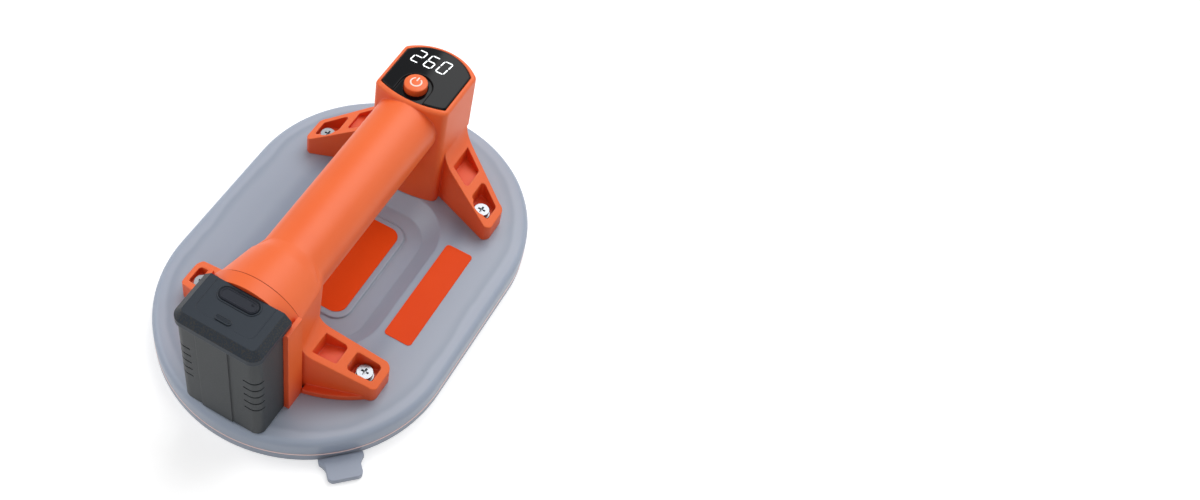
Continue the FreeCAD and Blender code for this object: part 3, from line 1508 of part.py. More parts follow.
def make_battery_cap():
    """Bevelled cap with the oval seat of the charging port and a raised pill mark."""
    body = new_body("battery_cap")
    low = battery_split
    proud = at.cap_proud
    half = at.battery_half_wide + proud
    back = battery_back - proud - at.battery_panel_thick
    plan = new_sketch(body, "XY_Plane", "cap_plan", low)
    rectangle(plan, back, battery_front + at.battery_gap / 2, -half, half)
    pad(body, plan, "cap_block", cap_top - low)
    dress(body, "Fillet", "cap_rear_corners", at.battery_corner + proud,
          lambda edge: behind(edge, back))
    dress(body, "Chamfer", "cap_bevel_cut", at.cap_bevel,
          lambda edge: level_at(edge, cap_top) and edge.BoundBox.XMin < battery_front.value - NEAR)
    panel = new_sketch(body, "XY_Plane", "cap_panel_plan", cap_top)
    edge = at.cap_panel_half
    turn = at.cap_panel_corner
    outline(panel, [(battery_front + at.cap_wall, -edge), (battery_front + at.cap_wall, edge),
                    (at.cap_panel_back + turn, edge), (at.cap_panel_back, edge - turn, turn, False),
                    (at.cap_panel_back, turn - edge), (at.cap_panel_back + turn, -edge, turn, False)])
    pocket(body, panel, "cap_panel", at.cap_panel_deep)
    wall = at.cap_wall
    room = new_sketch(body, "XY_Plane", "cap_room", low)
    rectangle(room, back + wall * 2, battery_front - wall, wall * 2 - half, half - wall * 2)
    pocket(body, room, "cap_room_cut", cap_top - at.cap_roof - low, onward=True)
    seat = new_sketch(body, "XY_Plane", "port_seat_plan", cap_top)
    gap = at.running_gap
    long = at.port_cover_half_long + gap
    wide = at.port_cover_radius + gap
    rounded(seat, at.port_cover_x, at.port_cover_y, wide, long, wide - at.oval_flat)
    pocket(body, seat, "port_seat", at.port_cover_thick - at.port_cover_proud + gap)
    opening = new_sketch(body, "XY_Plane", "socket_plan", cap_top)
    rounded(opening, at.port_cover_x, at.port_cover_y, at.socket_half_wide + gap, at.socket_half_long + gap,
            at.socket_half_wide)
    pocket(body, opening, "socket_opening", at.cap_roof)
    pill = new_sketch(body, "XY_Plane", "pill_plan", cap_top - at.cap_panel_deep)
    radius = at.pill_radius
    rounded(pill, at.pill_x, at.port_cover_y, radius, at.pill_half_long + radius, radius - at.oval_flat)
    pad(body, pill, "pill_mark", at.pill_rise)
    keep(body)


def make_battery_inside():
    """Cells in their two trays, protection board, charging socket and contact springs."""
    half = at.battery_half_wide - at.battery_side_wall - at.fit_gap
    back = battery_back + at.battery_wall + at.fit_gap
    front = battery_front - at.battery_front_wall - at.fit_gap
    floor = at.battery_low + at.battery_wall
    middle = (back + front) / 2
    cells = [rod("cell_%d" % number, (middle, at.cell_side * side, cell_low), at.cell_radius, at.cell_tall)
             for number, side in enumerate((1, -1))]
    keep(group("battery_cells", cells))
    spaces = [rod("cell_space_%d" % number, (middle, at.cell_side * side, cell_low),
                  at.cell_radius + at.shaft_gap, at.cell_tall)
              for number, side in enumerate((1, -1))]
    trays = group("tray_blanks", [
        block("tray_low", (back, -half, floor), (front, half, floor + at.tray_tall)),
        block("tray_top", (back, -half, guard_low - at.tray_tall), (front, half, guard_low))])
    keep(less("cell_holder", trays, fused("cell_spaces", spaces)))
    guard_high = guard_low + at.guard_thick
    keep(block("protection_board", (back, -half, guard_low), (front, half, guard_high)))
    wide = at.socket_half_wide
    long = at.socket_half_long
    x = at.port_cover_x
    y = at.port_cover_y
    seat = cap_top - at.port_cover_thick
    body = new_body("charge_socket")
    plan = new_sketch(body, "XY_Plane", "socket_shell_plan", seat - at.socket_tall)
    rounded(plan, x, y, wide, long, wide - at.oval_flat)
    inner = wide - at.fit_gap
    rounded(plan, x, y, inner, long - at.fit_gap, inner - at.oval_flat)
    pad(body, plan, "socket_shell", at.socket_tall - at.fit_gap)
    tongue = new_sketch(body, "XY_Plane", "socket_tongue_plan", seat - at.socket_tall)
    rectangle(tongue, x - wide / 4, x + wide / 4, y - long + at.fit_gap, y + long - at.fit_gap)
    pad(body, tongue, "socket_tongue", at.socket_tall - at.fit_gap * 3)
    foot = new_sketch(body, "XY_Plane", "socket_foot_plan", guard_high)
    rectangle(foot, x - wide, front, y - long, y + long)
    pad(body, foot, "socket_foot", seat - at.socket_tall - guard_high)
    keep(body)
    clips = []
    for number, side in enumerate((1, -1)):
        middle_y = at.contact_side * side
        clips.append(block("clip_%d" % number,
                           (battery_front - at.slot_deep, middle_y - at.contact_half_thick, floor + at.fit_gap),
                           (battery_front - at.slot_deep + at.fit_gap, middle_y + at.contact_half_thick,
                            at.slot_high - at.fit_gap)))
    keep(group("battery_terminals", clips))


def make_port_cover():
    """Rubber plug that hinges up from the charging port."""
    body = new_body("port_cover")
    plan = new_sketch(body, "XY_Plane", "cover_oval", cap_top - at.port_cover_thick + at.port_cover_proud)
    radius = at.port_cover_radius
    rounded(plan, at.port_cover_x, at.port_cover_y, radius, at.port_cover_half_long,
            radius - at.oval_flat)
    pad(body, plan, "cover_oval_pad", at.port_cover_thick)
    nib = new_sketch(body, "XY_Plane", "nib_plan", cap_top + at.port_cover_proud)
    circle(nib, at.port_cover_x + at.pill_radius, at.port_cover_y - at.nib_side, at.pill_radius / 2)
    pad(body, nib, "cover_nib", at.pill_rise)
    keep(body)


def make_leads():
    """Two insulated leads from the dock contacts through the grip to the control board."""
    leads = []
    for number, side in enumerate((1, -1)):
        y = at.lead_side.value * side
        start = FreeCAD.Vector((at.rear_back_x + at.shell_wall).value, at.contact_side.value * side,
                               at.contact_high.value - at.lead_radius.value * 2)
        turn_x = at.rear_back_x.value + at.lead_bend.value * 2
        level = pump_axis.value - at.lead_bend.value / 2
        end_x = at.board_low_x.value + at.lead_bend.value
        points = [start, FreeCAD.Vector(turn_x, y, start.z), FreeCAD.Vector(turn_x, y, level),
                  FreeCAD.Vector(end_x, y, level), FreeCAD.Vector(end_x, y, board_under.value)]
        bend = at.lead_turn.value
        leads.append(tube(tube_path(points, [bend] * (len(points) - 2)), at.lead_radius.value))
    item = doc.addObject("Part::Feature", "power_leads")
    item.Shape = Part.makeCompound(leads)
    keep(item)


def check_model():
    """Stop if any object failed, or a feature added or removed nothing."""
    doc.recompute()
    for item in doc.Objects:
        if "Invalid" in item.State or "Error" in item.State:
            raise ValueError("%s failed to build" % item.Label)
        if item.TypeId in ("PartDesign::Pad", "PartDesign::Pocket") and item.BaseFeature is not None:
            change = item.Shape.Volume - item.BaseFeature.Shape.Volume
            if (change <= 0) == (item.TypeId == "PartDesign::Pad"):
                raise ValueError("%s changed nothing" % item.Name)
    for item in nodes:
        if item.Shape.isNull() or not item.Shape.isValid() or not item.Shape.Solids:
            raise ValueError("%s is not a sound solid" % item.Label)


def main():
    """Build every piece, check the model and write one file per piece."""
    for make in (make_base_plate, make_seals, make_release_tab, make_labels, make_handle, make_front_cover,
                 make_leg_fasteners, make_display, make_button, make_board, make_motor, make_pump, make_hose,
                 make_manifold, make_dock, make_battery_case, make_battery_cap, make_battery_inside,
                 make_port_cover, make_leads):
        make()
    check_model()
    os.makedirs("parts", exist_ok=True)
    for item in nodes:
        item.Shape.exportStep("parts/%s.step" % item.Label)
        print("%-20s %2d solids %9.0f mm3" % (item.Label, len(item.Shape.Solids), item.Shape.Volume))


main()
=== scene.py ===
"""Looks of a battery powered suction lifter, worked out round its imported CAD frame.

Lengths are metres in the frame's own axes, or millimetres where a name or a docstring says so: +X
runs towards the display, +Z up out of the held surface. Each sub-assembly is a class that builds and
dresses its own pieces, and every CAD node takes the finish of its material slot.
"""

import json
import logging
import math
from dataclasses import dataclass, replace

import bmesh
import bpy
import numpy as np
from mathutils import Matrix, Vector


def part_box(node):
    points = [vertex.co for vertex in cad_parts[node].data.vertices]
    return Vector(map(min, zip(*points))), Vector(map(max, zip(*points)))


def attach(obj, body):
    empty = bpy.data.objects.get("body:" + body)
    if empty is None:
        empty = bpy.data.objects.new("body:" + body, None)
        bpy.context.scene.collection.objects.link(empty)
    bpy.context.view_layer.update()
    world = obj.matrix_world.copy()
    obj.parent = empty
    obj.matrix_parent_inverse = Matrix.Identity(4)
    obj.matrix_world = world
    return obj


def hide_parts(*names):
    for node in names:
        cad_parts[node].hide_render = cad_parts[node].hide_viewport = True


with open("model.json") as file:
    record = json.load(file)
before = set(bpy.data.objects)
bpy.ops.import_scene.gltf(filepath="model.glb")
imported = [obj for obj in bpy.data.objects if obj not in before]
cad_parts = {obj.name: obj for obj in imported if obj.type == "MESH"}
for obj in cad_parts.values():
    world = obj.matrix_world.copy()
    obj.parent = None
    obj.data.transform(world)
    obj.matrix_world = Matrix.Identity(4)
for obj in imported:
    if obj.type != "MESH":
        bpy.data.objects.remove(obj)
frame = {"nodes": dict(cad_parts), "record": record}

LOG = logging.getLogger("suction_lifter")
MM = 0.001
# Corners that lie nearer to one another than this are one corner.
MERGE = 1.0e-6
UP = np.array([0.0, 0.0, 1.0])
Colour = tuple[float, float, float, float]
WHITE: Colour = (1.0, 1.0, 1.0, 1.0)
# A mix of two colours takes them at the first two sockets and gives its result at the third.
MIX_FIRST, MIX_SECOND, MIX_RESULT = 6, 7, 2
# Samples taken round each point for soft edges and for nooks.
PROBES = 8
# Octaves of finer grain on a moulded skin, and how strongly they last.
GRAIN_OCTAVES = 2.0
GRAIN_TOOTH = 0.55
# Octaves of a flow patch, and the values between which it turns from dark to light.
PATCH_OCTAVES = 3.0
PATCH_LOW, PATCH_HIGH = 0.3, 0.7


def linear(hex_code: str) -> Colour:
    """Turns an sRGB hex colour into the linear colour that shaders take.

    Args:
        hex_code: six hexadecimal digits with a leading hash.

    Returns:
        The linear red, green and blue with an alpha of 1.
    """
    channels = np.array([int(hex_code[i:i + 2], 16) for i in (1, 3, 5)]) / 255.0
    low = channels / 12.92
    high = ((channels + 0.055) / 1.055) ** 2.4
    red, green, blue = np.where(channels <= 0.04045, low, high)
    return float(red), float(green), float(blue), 1.0


def add_node(tree: bpy.types.NodeTree, kind: str, feeds: dict | None = None,
             **settings: object) -> bpy.types.Node:
    """Adds a shader node, sets its properties and fills its sockets.

    Args:
        tree: the material's node tree.
        kind: the node's type name.
        feeds: socket name or index to a value, or to the output socket that is linked to it.
        **settings: properties of the node itself.

    Returns:
        The new node.
    """
    node = tree.nodes.new(kind)
    for name, value in settings.items():
        setattr(node, name, value)
    for key, value in (feeds or {}).items():
        if isinstance(value, bpy.types.NodeSocket):
            tree.links.new(value, node.inputs[key])
        else:
            node.inputs[key].default_value = value
    return node


def colour_steps(node: bpy.types.Node, stops: list[tuple[float, str]]) -> bpy.types.Node:
    """Puts the stops of a colour ramp in place.

    Args:
        node: a ColorRamp node.
        stops: position and sRGB hex colour of each stop, in rising order.

    Returns:
        The same node.
    """
    ramp = node.color_ramp
    while len(ramp.elements) < len(stops):
        ramp.elements.new(1.0)
    for element, (position, colour) in zip(ramp.elements, stops):
        element.position = position
        element.color = linear(colour)
    return node


@dataclass(frozen=True)
class Finish:
    """What every finish shares: a name, a colour and a Principled surface.

    Attributes:
        name: the real material and how its surface was made.
        colour: its sRGB hex colour.
        roughness: its typical microscopic roughness.
        ior: its refractive index.
        shine: share of the mirror light that its skin keeps, where 0.5 is all of it.
        edge_mm: radius of the soft edges that the mould or the tumbler leaves.
    """

    name: str
    colour: str
    roughness: float
    ior: float = 1.5
    shine: float = 0.5
    edge_mm: float = 0.4

    def surface(self, tree: bpy.types.NodeTree) -> bpy.types.Node:
        """Adds the Principled node and gives it the plain values of this finish.

        Args:
            tree: the material's node tree.

        Returns:
            The Principled node.
        """
        shader = add_node(tree, "ShaderNodeBsdfPrincipled", {
            "Base Color": linear(self.colour), "Roughness": self.roughness, "IOR": self.ior,
            "Specular IOR Level": self.shine})
        output = add_node(tree, "ShaderNodeOutputMaterial")
        tree.links.new(shader.outputs["BSDF"], output.inputs["Surface"])
        return shader

    def detail(self, tree: bpy.types.NodeTree, shader: bpy.types.Node) -> None:
        """Adds the pattern of this finish to the plain surface. The plain finish has none.

        Args:
            tree: the material's node tree.
            shader: its Principled node.
        """

    def build(self) -> bpy.types.Material:
        """Makes the Blender material.

        Returns:
            The material, with its node tree filled.
        """
        material = bpy.data.materials.new(self.name)
        material.use_nodes = True
        tree = material.node_tree
        tree.nodes.clear()
        shader = self.surface(tree)
        self.detail(tree, shader)
        material.diffuse_color = linear(self.colour)
        return material


def grain(tree: bpy.types.NodeTree, size_mm: float, depth_mm: float, strength: float,
          shader: bpy.types.Node, edge_mm: float) -> bpy.types.Node:
    """Softens the edges and raises a fine isotropic grain, as spark erosion leaves it in a mould.

    Args:
        tree: the material's node tree.
        size_mm: distance from one bump to the next.
        depth_mm: height of a bump.
        strength: share of the bump that shows.
        shader: the Principled node whose normal it feeds.
        edge_mm: radius of the soft edges.

    Returns:
        The noise node, for patterns that follow the grain.
    """
    place = add_node(tree, "ShaderNodeTexCoord")
    noise = add_node(tree, "ShaderNodeTexNoise", {
        "Vector": place.outputs["Object"], "Scale": 1.0 / (size_mm * MM), "Detail": GRAIN_OCTAVES,
        "Roughness": GRAIN_TOOTH})
    soft = add_node(tree, "ShaderNodeBevel", {"Radius": edge_mm * MM}, samples=PROBES)
    bump = add_node(tree, "ShaderNodeBump", {
        "Height": noise.outputs["Fac"], "Strength": strength, "Distance": depth_mm * MM,
        "Normal": soft.outputs["Normal"]})
    tree.links.new(bump.outputs["Normal"], shader.inputs["Normal"])
    return noise


def clouding(tree: bpy.types.NodeTree, size_mm: float, low: str, high: str) -> bpy.types.Node:
    """Varies a colour slowly over the surface, as flow marks and handling do.

    Args:
        tree: the material's node tree.
        size_mm: width of one patch.
        low: sRGB colour of the darker patches.
        high: sRGB colour of the lighter patches.

    Returns:
        The ramp node that carries the varied colour.
    """
    place = add_node(tree, "ShaderNodeTexCoord")
    noise = add_node(tree, "ShaderNodeTexNoise", {
        "Vector": place.outputs["Object"], "Scale": 1.0 / (size_mm * MM), "Detail": PATCH_OCTAVES})
    return colour_steps(add_node(tree, "ShaderNodeValToRGB", {"Fac": noise.outputs["Fac"]}),
                        [(PATCH_LOW, low), (PATCH_HIGH, high)])


@dataclass(frozen=True)
class MouldedPlastic(Finish):
    """Injection moulded nylon, ABS or polycarbonate with an eroded or polished mould face.

    Attributes:
        low: colour of the slightly darker flow patches.
        high: colour of the slightly lighter ones.
        grain_mm: spacing of the mould's grain, drawn coarser than life where it would not show.
        depth_mm: height of the grain.
        grain_share: share of the grain that shows.
        patch_mm: width of the flow patches.
        gloss_spread: how far the roughness wanders to each side.
        sheen: soft lightening at grazing angles from the grain.
        sheen_spread: roughness of that lightening.
        nook_shade: colour of the painted shade in corners and pockets, where light bounces on the
            plastic.
        nook_mm: how far off a wall may stand and still make a nook.
        nook_open: open share of the view at which a spot is all nook, and at which it is none.
    """

    low: str = "#000000"
    high: str = "#000000"
    grain_mm: float = 0.35
    depth_mm: float = 0.02
    grain_share: float = 0.6
    patch_mm: float = 40.0
    gloss_spread: float = 0.05
    sheen: float = 0.0
    sheen_spread: float = 0.5
    nook_shade: str = ""
    nook_mm: float = 35.0
    nook_open: tuple[float, float] = (0.35, 0.95)

    def detail(self, tree: bpy.types.NodeTree, shader: bpy.types.Node) -> None:
        """Adds the mould's grain, the flow patches, the wandering gloss and the painted shade in nooks.

        Args:
            tree: the material's node tree.
            shader: its Principled node.
        """
        noise = grain(tree, self.grain_mm, self.depth_mm, self.grain_share, shader, self.edge_mm)
        ramp = clouding(tree, self.patch_mm, self.low, self.high)
        skin = ramp.outputs["Color"]
        # Painted shade: nooks take the darker nook_shade colour, by how little of the view round them is
        # open.
        if self.nook_shade:
            nook = add_node(tree, "ShaderNodeAmbientOcclusion", {"Distance": self.nook_mm * MM},
                            samples=PROBES)
            open_share = add_node(tree, "ShaderNodeMapRange", {
                "Value": nook.outputs["AO"], "From Min": self.nook_open[0],
                "From Max": self.nook_open[1]})
            mixed = add_node(tree, "ShaderNodeMix", {
                "Factor": open_share.outputs["Result"], MIX_SECOND: skin}, data_type="RGBA")
            mixed.inputs[MIX_FIRST].default_value = linear(self.nook_shade)
            skin = mixed.outputs[MIX_RESULT]
        tree.links.new(skin, shader.inputs["Base Color"])
        spread = add_node(tree, "ShaderNodeMapRange", {
            "Value": noise.outputs["Fac"], "To Min": self.roughness - self.gloss_spread,
            "To Max": self.roughness + self.gloss_spread})
        tree.links.new(spread.outputs["Result"], shader.inputs["Roughness"])
        shader.inputs["Sheen Weight"].default_value = self.sheen
        shader.inputs["Sheen Roughness"].default_value = self.sheen_spread


@dataclass(frozen=True)
class SpeckledPlastic(MouldedPlastic):
    """Moulded plastic with a coarse eroded grain that sits only on its slanted faces.

    Attributes:
        speck: colour of the worn tops of the coarse grain.
        speck_mm: distance from one speck to the next.
        speck_octaves: octaves of finer specks.
        speck_cut: values of the noise at which a speck starts, and at which it is full.
        lean: upward share of a face's direction, and the specks there, from black for none.
    """

    speck: str = "#000000"
    speck_mm: float = 0.9
    speck_octaves: float = 1.0
    speck_cut: tuple[float, float] = (0.48, 0.62)
    lean: tuple[tuple[float, str], ...] = (
        (0.3, "#000000"), (0.4, "#FFFFFF"), (0.86, "#FFFFFF"), (0.93, "#000000"))

    def detail(self, tree: bpy.types.NodeTree, shader: bpy.types.Node) -> None:
        """Adds the moulded skin, then mixes the specks in where a face leans between two angles.

        Args:
            tree: the material's node tree.
            shader: its Principled node.
        """
        super().detail(tree, shader)
        place = add_node(tree, "ShaderNodeTexCoord")
        specks = add_node(tree, "ShaderNodeTexNoise", {
            "Vector": place.outputs["Object"], "Scale": 1.0 / (self.speck_mm * MM),
            "Detail": self.speck_octaves})
        facing = add_node(tree, "ShaderNodeSeparateXYZ", {"Vector": place.outputs["Normal"]})
        slant = colour_steps(add_node(tree, "ShaderNodeValToRGB", {"Fac": facing.outputs["Z"]}),
                             list(self.lean))
        tops = add_node(tree, "ShaderNodeMapRange", {
            "Value": specks.outputs["Fac"], "From Min": self.speck_cut[0],
            "From Max": self.speck_cut[1]})
        share = add_node(tree, "ShaderNodeMath", {
            0: slant.outputs["Color"], 1: tops.outputs["Result"]}, operation="MULTIPLY")
        skin = shader.inputs["Base Color"].links[0].from_socket
        mixed = add_node(tree, "ShaderNodeMix", {"Factor": share.outputs[0]}, data_type="RGBA")
        tree.links.new(skin, mixed.inputs[MIX_FIRST])
        mixed.inputs[MIX_SECOND].default_value = linear(self.speck)
        tree.links.new(mixed.outputs[MIX_RESULT], shader.inputs["Base Color"])


@dataclass(frozen=True)
class CastUrethane(Finish):
    """Milky cast urethane, which lets a little light in, with bands of painted shade that follow its rim.

    Attributes:
        half_straight: half the straight length of the oval that the bands follow, in metres.
        edge_radius: radius of the oval's ends, in metres.
        shade_bands: inset from the rim in millimetres and sRGB colour of each band of painted shade.
        drift_waves: waves of the slow drift in a metre.
        drift: how far the bands wander, in metres.
        glow: share of the light that goes into the skin.
        glow_reach: how far red, green and blue light go in, in metres.
    """

    half_straight: float = 0.0458
    edge_radius: float = 0.095
    shade_bands: tuple[tuple[float, str], ...] = ()
    drift_waves: float = 28.0
    drift: float = 0.006
    glow: float = 0.25
    glow_reach: tuple[float, float, float] = (0.004, 0.004, 0.005)

    def detail(self, tree: bpy.types.NodeTree, shader: bpy.types.Node) -> None:
        """Paints bands of shade on the plate by the distance from its rim and gives it a satin skin.

        The distance of a spot from the middle line is the length of (max(|x| - half_straight, 0), y).
        The inset is edge_radius less that length, and it picks the colour among the bands.

        Args:
            tree: the material's node tree.
            shader: its Principled node.
        """
        place = add_node(tree, "ShaderNodeTexCoord")
        drift = add_node(tree, "ShaderNodeTexNoise", {
            "Vector": place.outputs["Object"], "Scale": self.drift_waves, "Detail": GRAIN_OCTAVES})
        parts = add_node(tree, "ShaderNodeSeparateXYZ", {"Vector": place.outputs["Object"]})
        reach = add_node(tree, "ShaderNodeMath", {0: parts.outputs["X"]}, operation="ABSOLUTE")
        past = add_node(tree, "ShaderNodeMath", {0: reach.outputs[0], 1: self.half_straight},
                        operation="SUBTRACT")
        past = add_node(tree, "ShaderNodeMath", {0: past.outputs[0], 1: 0.0}, operation="MAXIMUM")
        flat = add_node(tree, "ShaderNodeCombineXYZ", {"X": past.outputs[0], "Y": parts.outputs["Y"]})
        length = add_node(tree, "ShaderNodeVectorMath", {0: flat.outputs[0]}, operation="LENGTH")
        wander = add_node(tree, "ShaderNodeMath", {
            0: drift.outputs["Fac"], 1: self.drift, 2: length.outputs["Value"]},
            operation="MULTIPLY_ADD")
        inset = add_node(tree, "ShaderNodeMapRange", {
            "Value": wander.outputs[0], "From Min": self.edge_radius + self.drift / 2,
            "From Max": 0.0})
        # Painted shade: the ramp darkens and lightens the plate in bands by their inset from the rim.
        ramp = colour_steps(
            add_node(tree, "ShaderNodeValToRGB", {"Fac": inset.outputs["Result"]}),
            [(depth * MM / self.edge_radius, colour) for depth, colour in self.shade_bands])
        ramp.color_ramp.interpolation = "EASE"
        tree.links.new(ramp.outputs["Color"], shader.inputs["Base Color"])
        shader.inputs["Subsurface Weight"].default_value = self.glow
        shader.inputs["Subsurface Radius"].default_value = self.glow_reach
        shader.inputs["Subsurface Scale"].default_value = 1.0
        grain(tree, size_mm=0.6, depth_mm=0.01, strength=0.35, shader=shader, edge_mm=self.edge_mm)


@dataclass(frozen=True)
class PlatedMetal(Finish):
    """Turned, plated or stamped metal with the fine marks of the tool.

    Attributes:
        grain_mm: distance from one mark to the next.
        depth_mm: depth of a mark.
        mark_share: share of the marks that shows.
        gloss_share: how far the roughness wanders to each side, as a share of itself.
    """

    grain_mm: float = 0.12
    depth_mm: float = 0.004
    mark_share: float = 0.4
    gloss_share: float = 0.3

    def detail(self, tree: bpy.types.NodeTree, shader: bpy.types.Node) -> None:
        """Makes the surface metal and adds the tool's marks.

        Args:
            tree: the material's node tree.
            shader: its Principled node.
        """
        shader.inputs["Metallic"].default_value = 1.0
        noise = grain(tree, self.grain_mm, self.depth_mm, self.mark_share, shader, self.edge_mm)
        spread = add_node(tree, "ShaderNodeMapRange", {
            "Value": noise.outputs["Fac"], "To Min": self.roughness * (1 - self.gloss_share),
            "To Max": self.roughness * (1 + self.gloss_share)})
        tree.links.new(spread.outputs["Result"], shader.inputs["Roughness"])


@dataclass(frozen=True)
class GlossLens(Finish):
    """Tinted polycarbonate, polished like a piano lid."""

    def detail(self, tree: bpy.types.NodeTree, shader: bpy.types.Node) -> None:
        """Adds the faint waviness that a moulded lens keeps."""
        grain(tree, size_mm=18.0, depth_mm=0.02, strength=0.15, shader=shader, edge_mm=self.edge_mm)


@dataclass(frozen=True)
class CellFoam(Finish):
    """Closed cell foam: small round pores in a dull skin.

    Attributes:
        pore_mm: distance from one pore to the next.
        pore_deep_mm: depth of a pore.
        pore_share: share of that depth that shows.
        pore_shade: sRGB colour of the painted shade on a pore's floor.
        pore_span: distances from a pore's middle at which its floor ends and the skin starts, in pores.
    """

    pore_mm: float = 0.9
    pore_deep_mm: float = 0.2
    pore_share: float = 0.8
    pore_shade: str = "#2E3033"
    pore_span: tuple[float, float] = (0.1, 0.5)

    def detail(self, tree: bpy.types.NodeTree, shader: bpy.types.Node) -> None:
        """Adds the pores in relief and shade.

        Args:
            tree: the material's node tree.
            shader: its Principled node.
        """
        place = add_node(tree, "ShaderNodeTexCoord")
        cells = add_node(tree, "ShaderNodeTexVoronoi", {
            "Vector": place.outputs["Object"], "Scale": 1.0 / (self.pore_mm * MM)})
        # Painted shade: each pore's floor darkens towards pore_shade.
        shade = colour_steps(
            add_node(tree, "ShaderNodeValToRGB", {"Fac": cells.outputs["Distance"]}),
            list(zip(self.pore_span, (self.pore_shade, self.colour))))
        tree.links.new(shade.outputs["Color"], shader.inputs["Base Color"])
        bump = add_node(tree, "ShaderNodeBump", {
            "Height": cells.outputs["Distance"], "Strength": self.pore_share,
            "Distance": self.pore_deep_mm * MM})
        tree.links.new(bump.outputs["Normal"], shader.inputs["Normal"])


@dataclass(frozen=True)
class LightBar(Finish):
    """A lit diode bar behind the lens.

    Attributes:
        glow: strength of its own light.
    """

    glow: float = 1.0

    def detail(self, tree: bpy.types.NodeTree, shader: bpy.types.Node) -> None:
        """Makes the bar shine."""
        shader.inputs["Emission Color"].default_value = linear(self.colour)
        shader.inputs["Emission Strength"].default_value = self.glow


# Glass filled nylon from an eroded mould: satin, pale where a lamp grazes it, with painted shade in its
# nooks.
ORANGE_NYLON = MouldedPlastic("glass filled nylon, spark eroded, orange", "#EB6526", 0.44, 1.53,
                              shine=0.42, edge_mm=1.2, low="#E96223", high="#ED6829", grain_mm=0.5,
                              depth_mm=0.012, nook_shade="#E04A1C")
# The same nylon where two mouldings meet: their edges are crisp, so the seam shows.
SEAM_NYLON = replace(ORANGE_NYLON, name="glass filled nylon, crisp edges, orange", edge_mm=0.25)
# Painted shadow: the same nylon darkened to stand for the shade in a gap too narrow for light.
GAP_SHADOW_PAINT = MouldedPlastic("glass filled nylon, in a narrow gap", "#8C2A0C", 0.6, 1.53, shine=0.1,
                           edge_mm=0.05, low="#862709", high="#922D0F", grain_mm=0.5, depth_mm=0.002)
# Impact grade ABS: the battery's dull blue grey with a fine eroded grain.
BATTERY_ABS = MouldedPlastic("impact ABS, spark eroded, slate", "#2C3033", 0.52, 1.54, shine=0.3,
                             edge_mm=0.6, low="#2A2E31", high="#2F3336", grain_mm=0.6, depth_mm=0.02)
# The battery cap's coarser eroded ABS: a bluish skin with browner specks on its slanted band.
CAP_ABS = SpeckledPlastic("impact ABS, coarse eroded, slate", "#1B242E", 0.5, 1.54, shine=0.25,
                          edge_mm=0.6, low="#19222C", high="#1D2630", grain_mm=0.9, depth_mm=0.03,
                          speck="#302F2E", speck_mm=0.8)
# Black engineering plastic of the inner parts.
DARK_PLASTIC = MouldedPlastic("glass filled polyamide, moulded, black", "#1B1E22", 0.4, 1.53, shine=0.4,
                              low="#181B1F", high="#1F2226", grain_mm=0.4, depth_mm=0.01)
# Rubber moulded against a matt cavity.
BLACK_RUBBER = MouldedPlastic("nitrile rubber, moulded, black", "#131824", 0.5, 1.52, shine=0.22,
                              low="#111621", high="#161B27", grain_mm=0.5, depth_mm=0.008, sheen=0.05)
# Cast and left as it came: a soft skin, with bands of painted shade that follow its rim.
PLATE_URETHANE = CastUrethane("cast urethane, milky grey", "#98A3B3", 0.36, 1.49, shine=0.4, edge_mm=2.0,
                              shade_bands=((0.0, "#9CA6B7"), (7.0, "#A3ADBC"), (10.0, "#949FAF"),
                                     (15.0, "#9DA7B6"), (30.0, "#98A3B3"), (41.0, "#8693A5"),
                                     (52.0, "#939FB0"), (70.0, "#9AA5B4")))
SEAL_SILICONE = MouldedPlastic("silicone rubber, moulded, grey", "#969EAE", 0.38, 1.43, edge_mm=0.8,
                               low="#929AAA", high="#9AA2B2", grain_mm=0.7, depth_mm=0.006)
SEAM_RUBBER = MouldedPlastic("silicone gasket, pale pink", "#F7D8D2", 0.42, 1.43,
                             low="#F4D0CA", high="#FAE0DC", grain_mm=0.7, depth_mm=0.01)
FOAM = CellFoam("closed cell foam", "#55585C", 0.9, 1.4)
# Offset printed polyester film: even colour under a thin matt varnish.
LABEL_FILM = MouldedPlastic("printed polyester film", "#E4480E", 0.5, 1.57, shine=0.1, edge_mm=0.1,
                            low="#E2460C", high="#E64B10", grain_mm=4.0, depth_mm=0.001)
# Zinc plated steel, bright chromated.
ZINC_STEEL = PlatedMetal("zinc plated steel, bright", "#8E9195", 0.3, edge_mm=0.2)
BRASS = PlatedMetal("turned brass", "#C7A253", 0.28, edge_mm=0.15)
IRON = PlatedMetal("laminated silicon steel", "#77797C", 0.42, edge_mm=0.15, grain_mm=0.5, depth_mm=0.02)
LENS = GlossLens("tinted polycarbonate, polished", "#04060A", 0.05, 1.58, shine=0.1, edge_mm=0.5)
SOLDER_MASK = MouldedPlastic("glass epoxy board with green mask", "#1E5A3C", 0.35, 1.5, edge_mm=0.1,
                             low="#1B5437", high="#226243", grain_mm=1.2, depth_mm=0.006)
CELL_SLEEVE = MouldedPlastic("shrunk PVC sleeve, blue", "#2B67A6", 0.3, 1.53,
                             low="#28619D", high="#2E6DAF", grain_mm=3.0, depth_mm=0.01)
LEAD_SLEEVE = MouldedPlastic("silicone wire sleeve, red", "#A82A22", 0.45, 1.43,
                             low="#A0261F", high="#B02E26", grain_mm=0.8, depth_mm=0.01)
DIGIT_LIGHT = LightBar("lit diode bar, white", "#F4F8FA", 0.4, 1.5, glow=0.85)
SYMBOL_PAINT = MouldedPlastic("pad printed ink, pale", "#FBE3D6", 0.4, 1.5, edge_mm=0.05,
                              low="#FAE0D2", high="#FCE7DB", grain_mm=0.6, depth_mm=0.001)

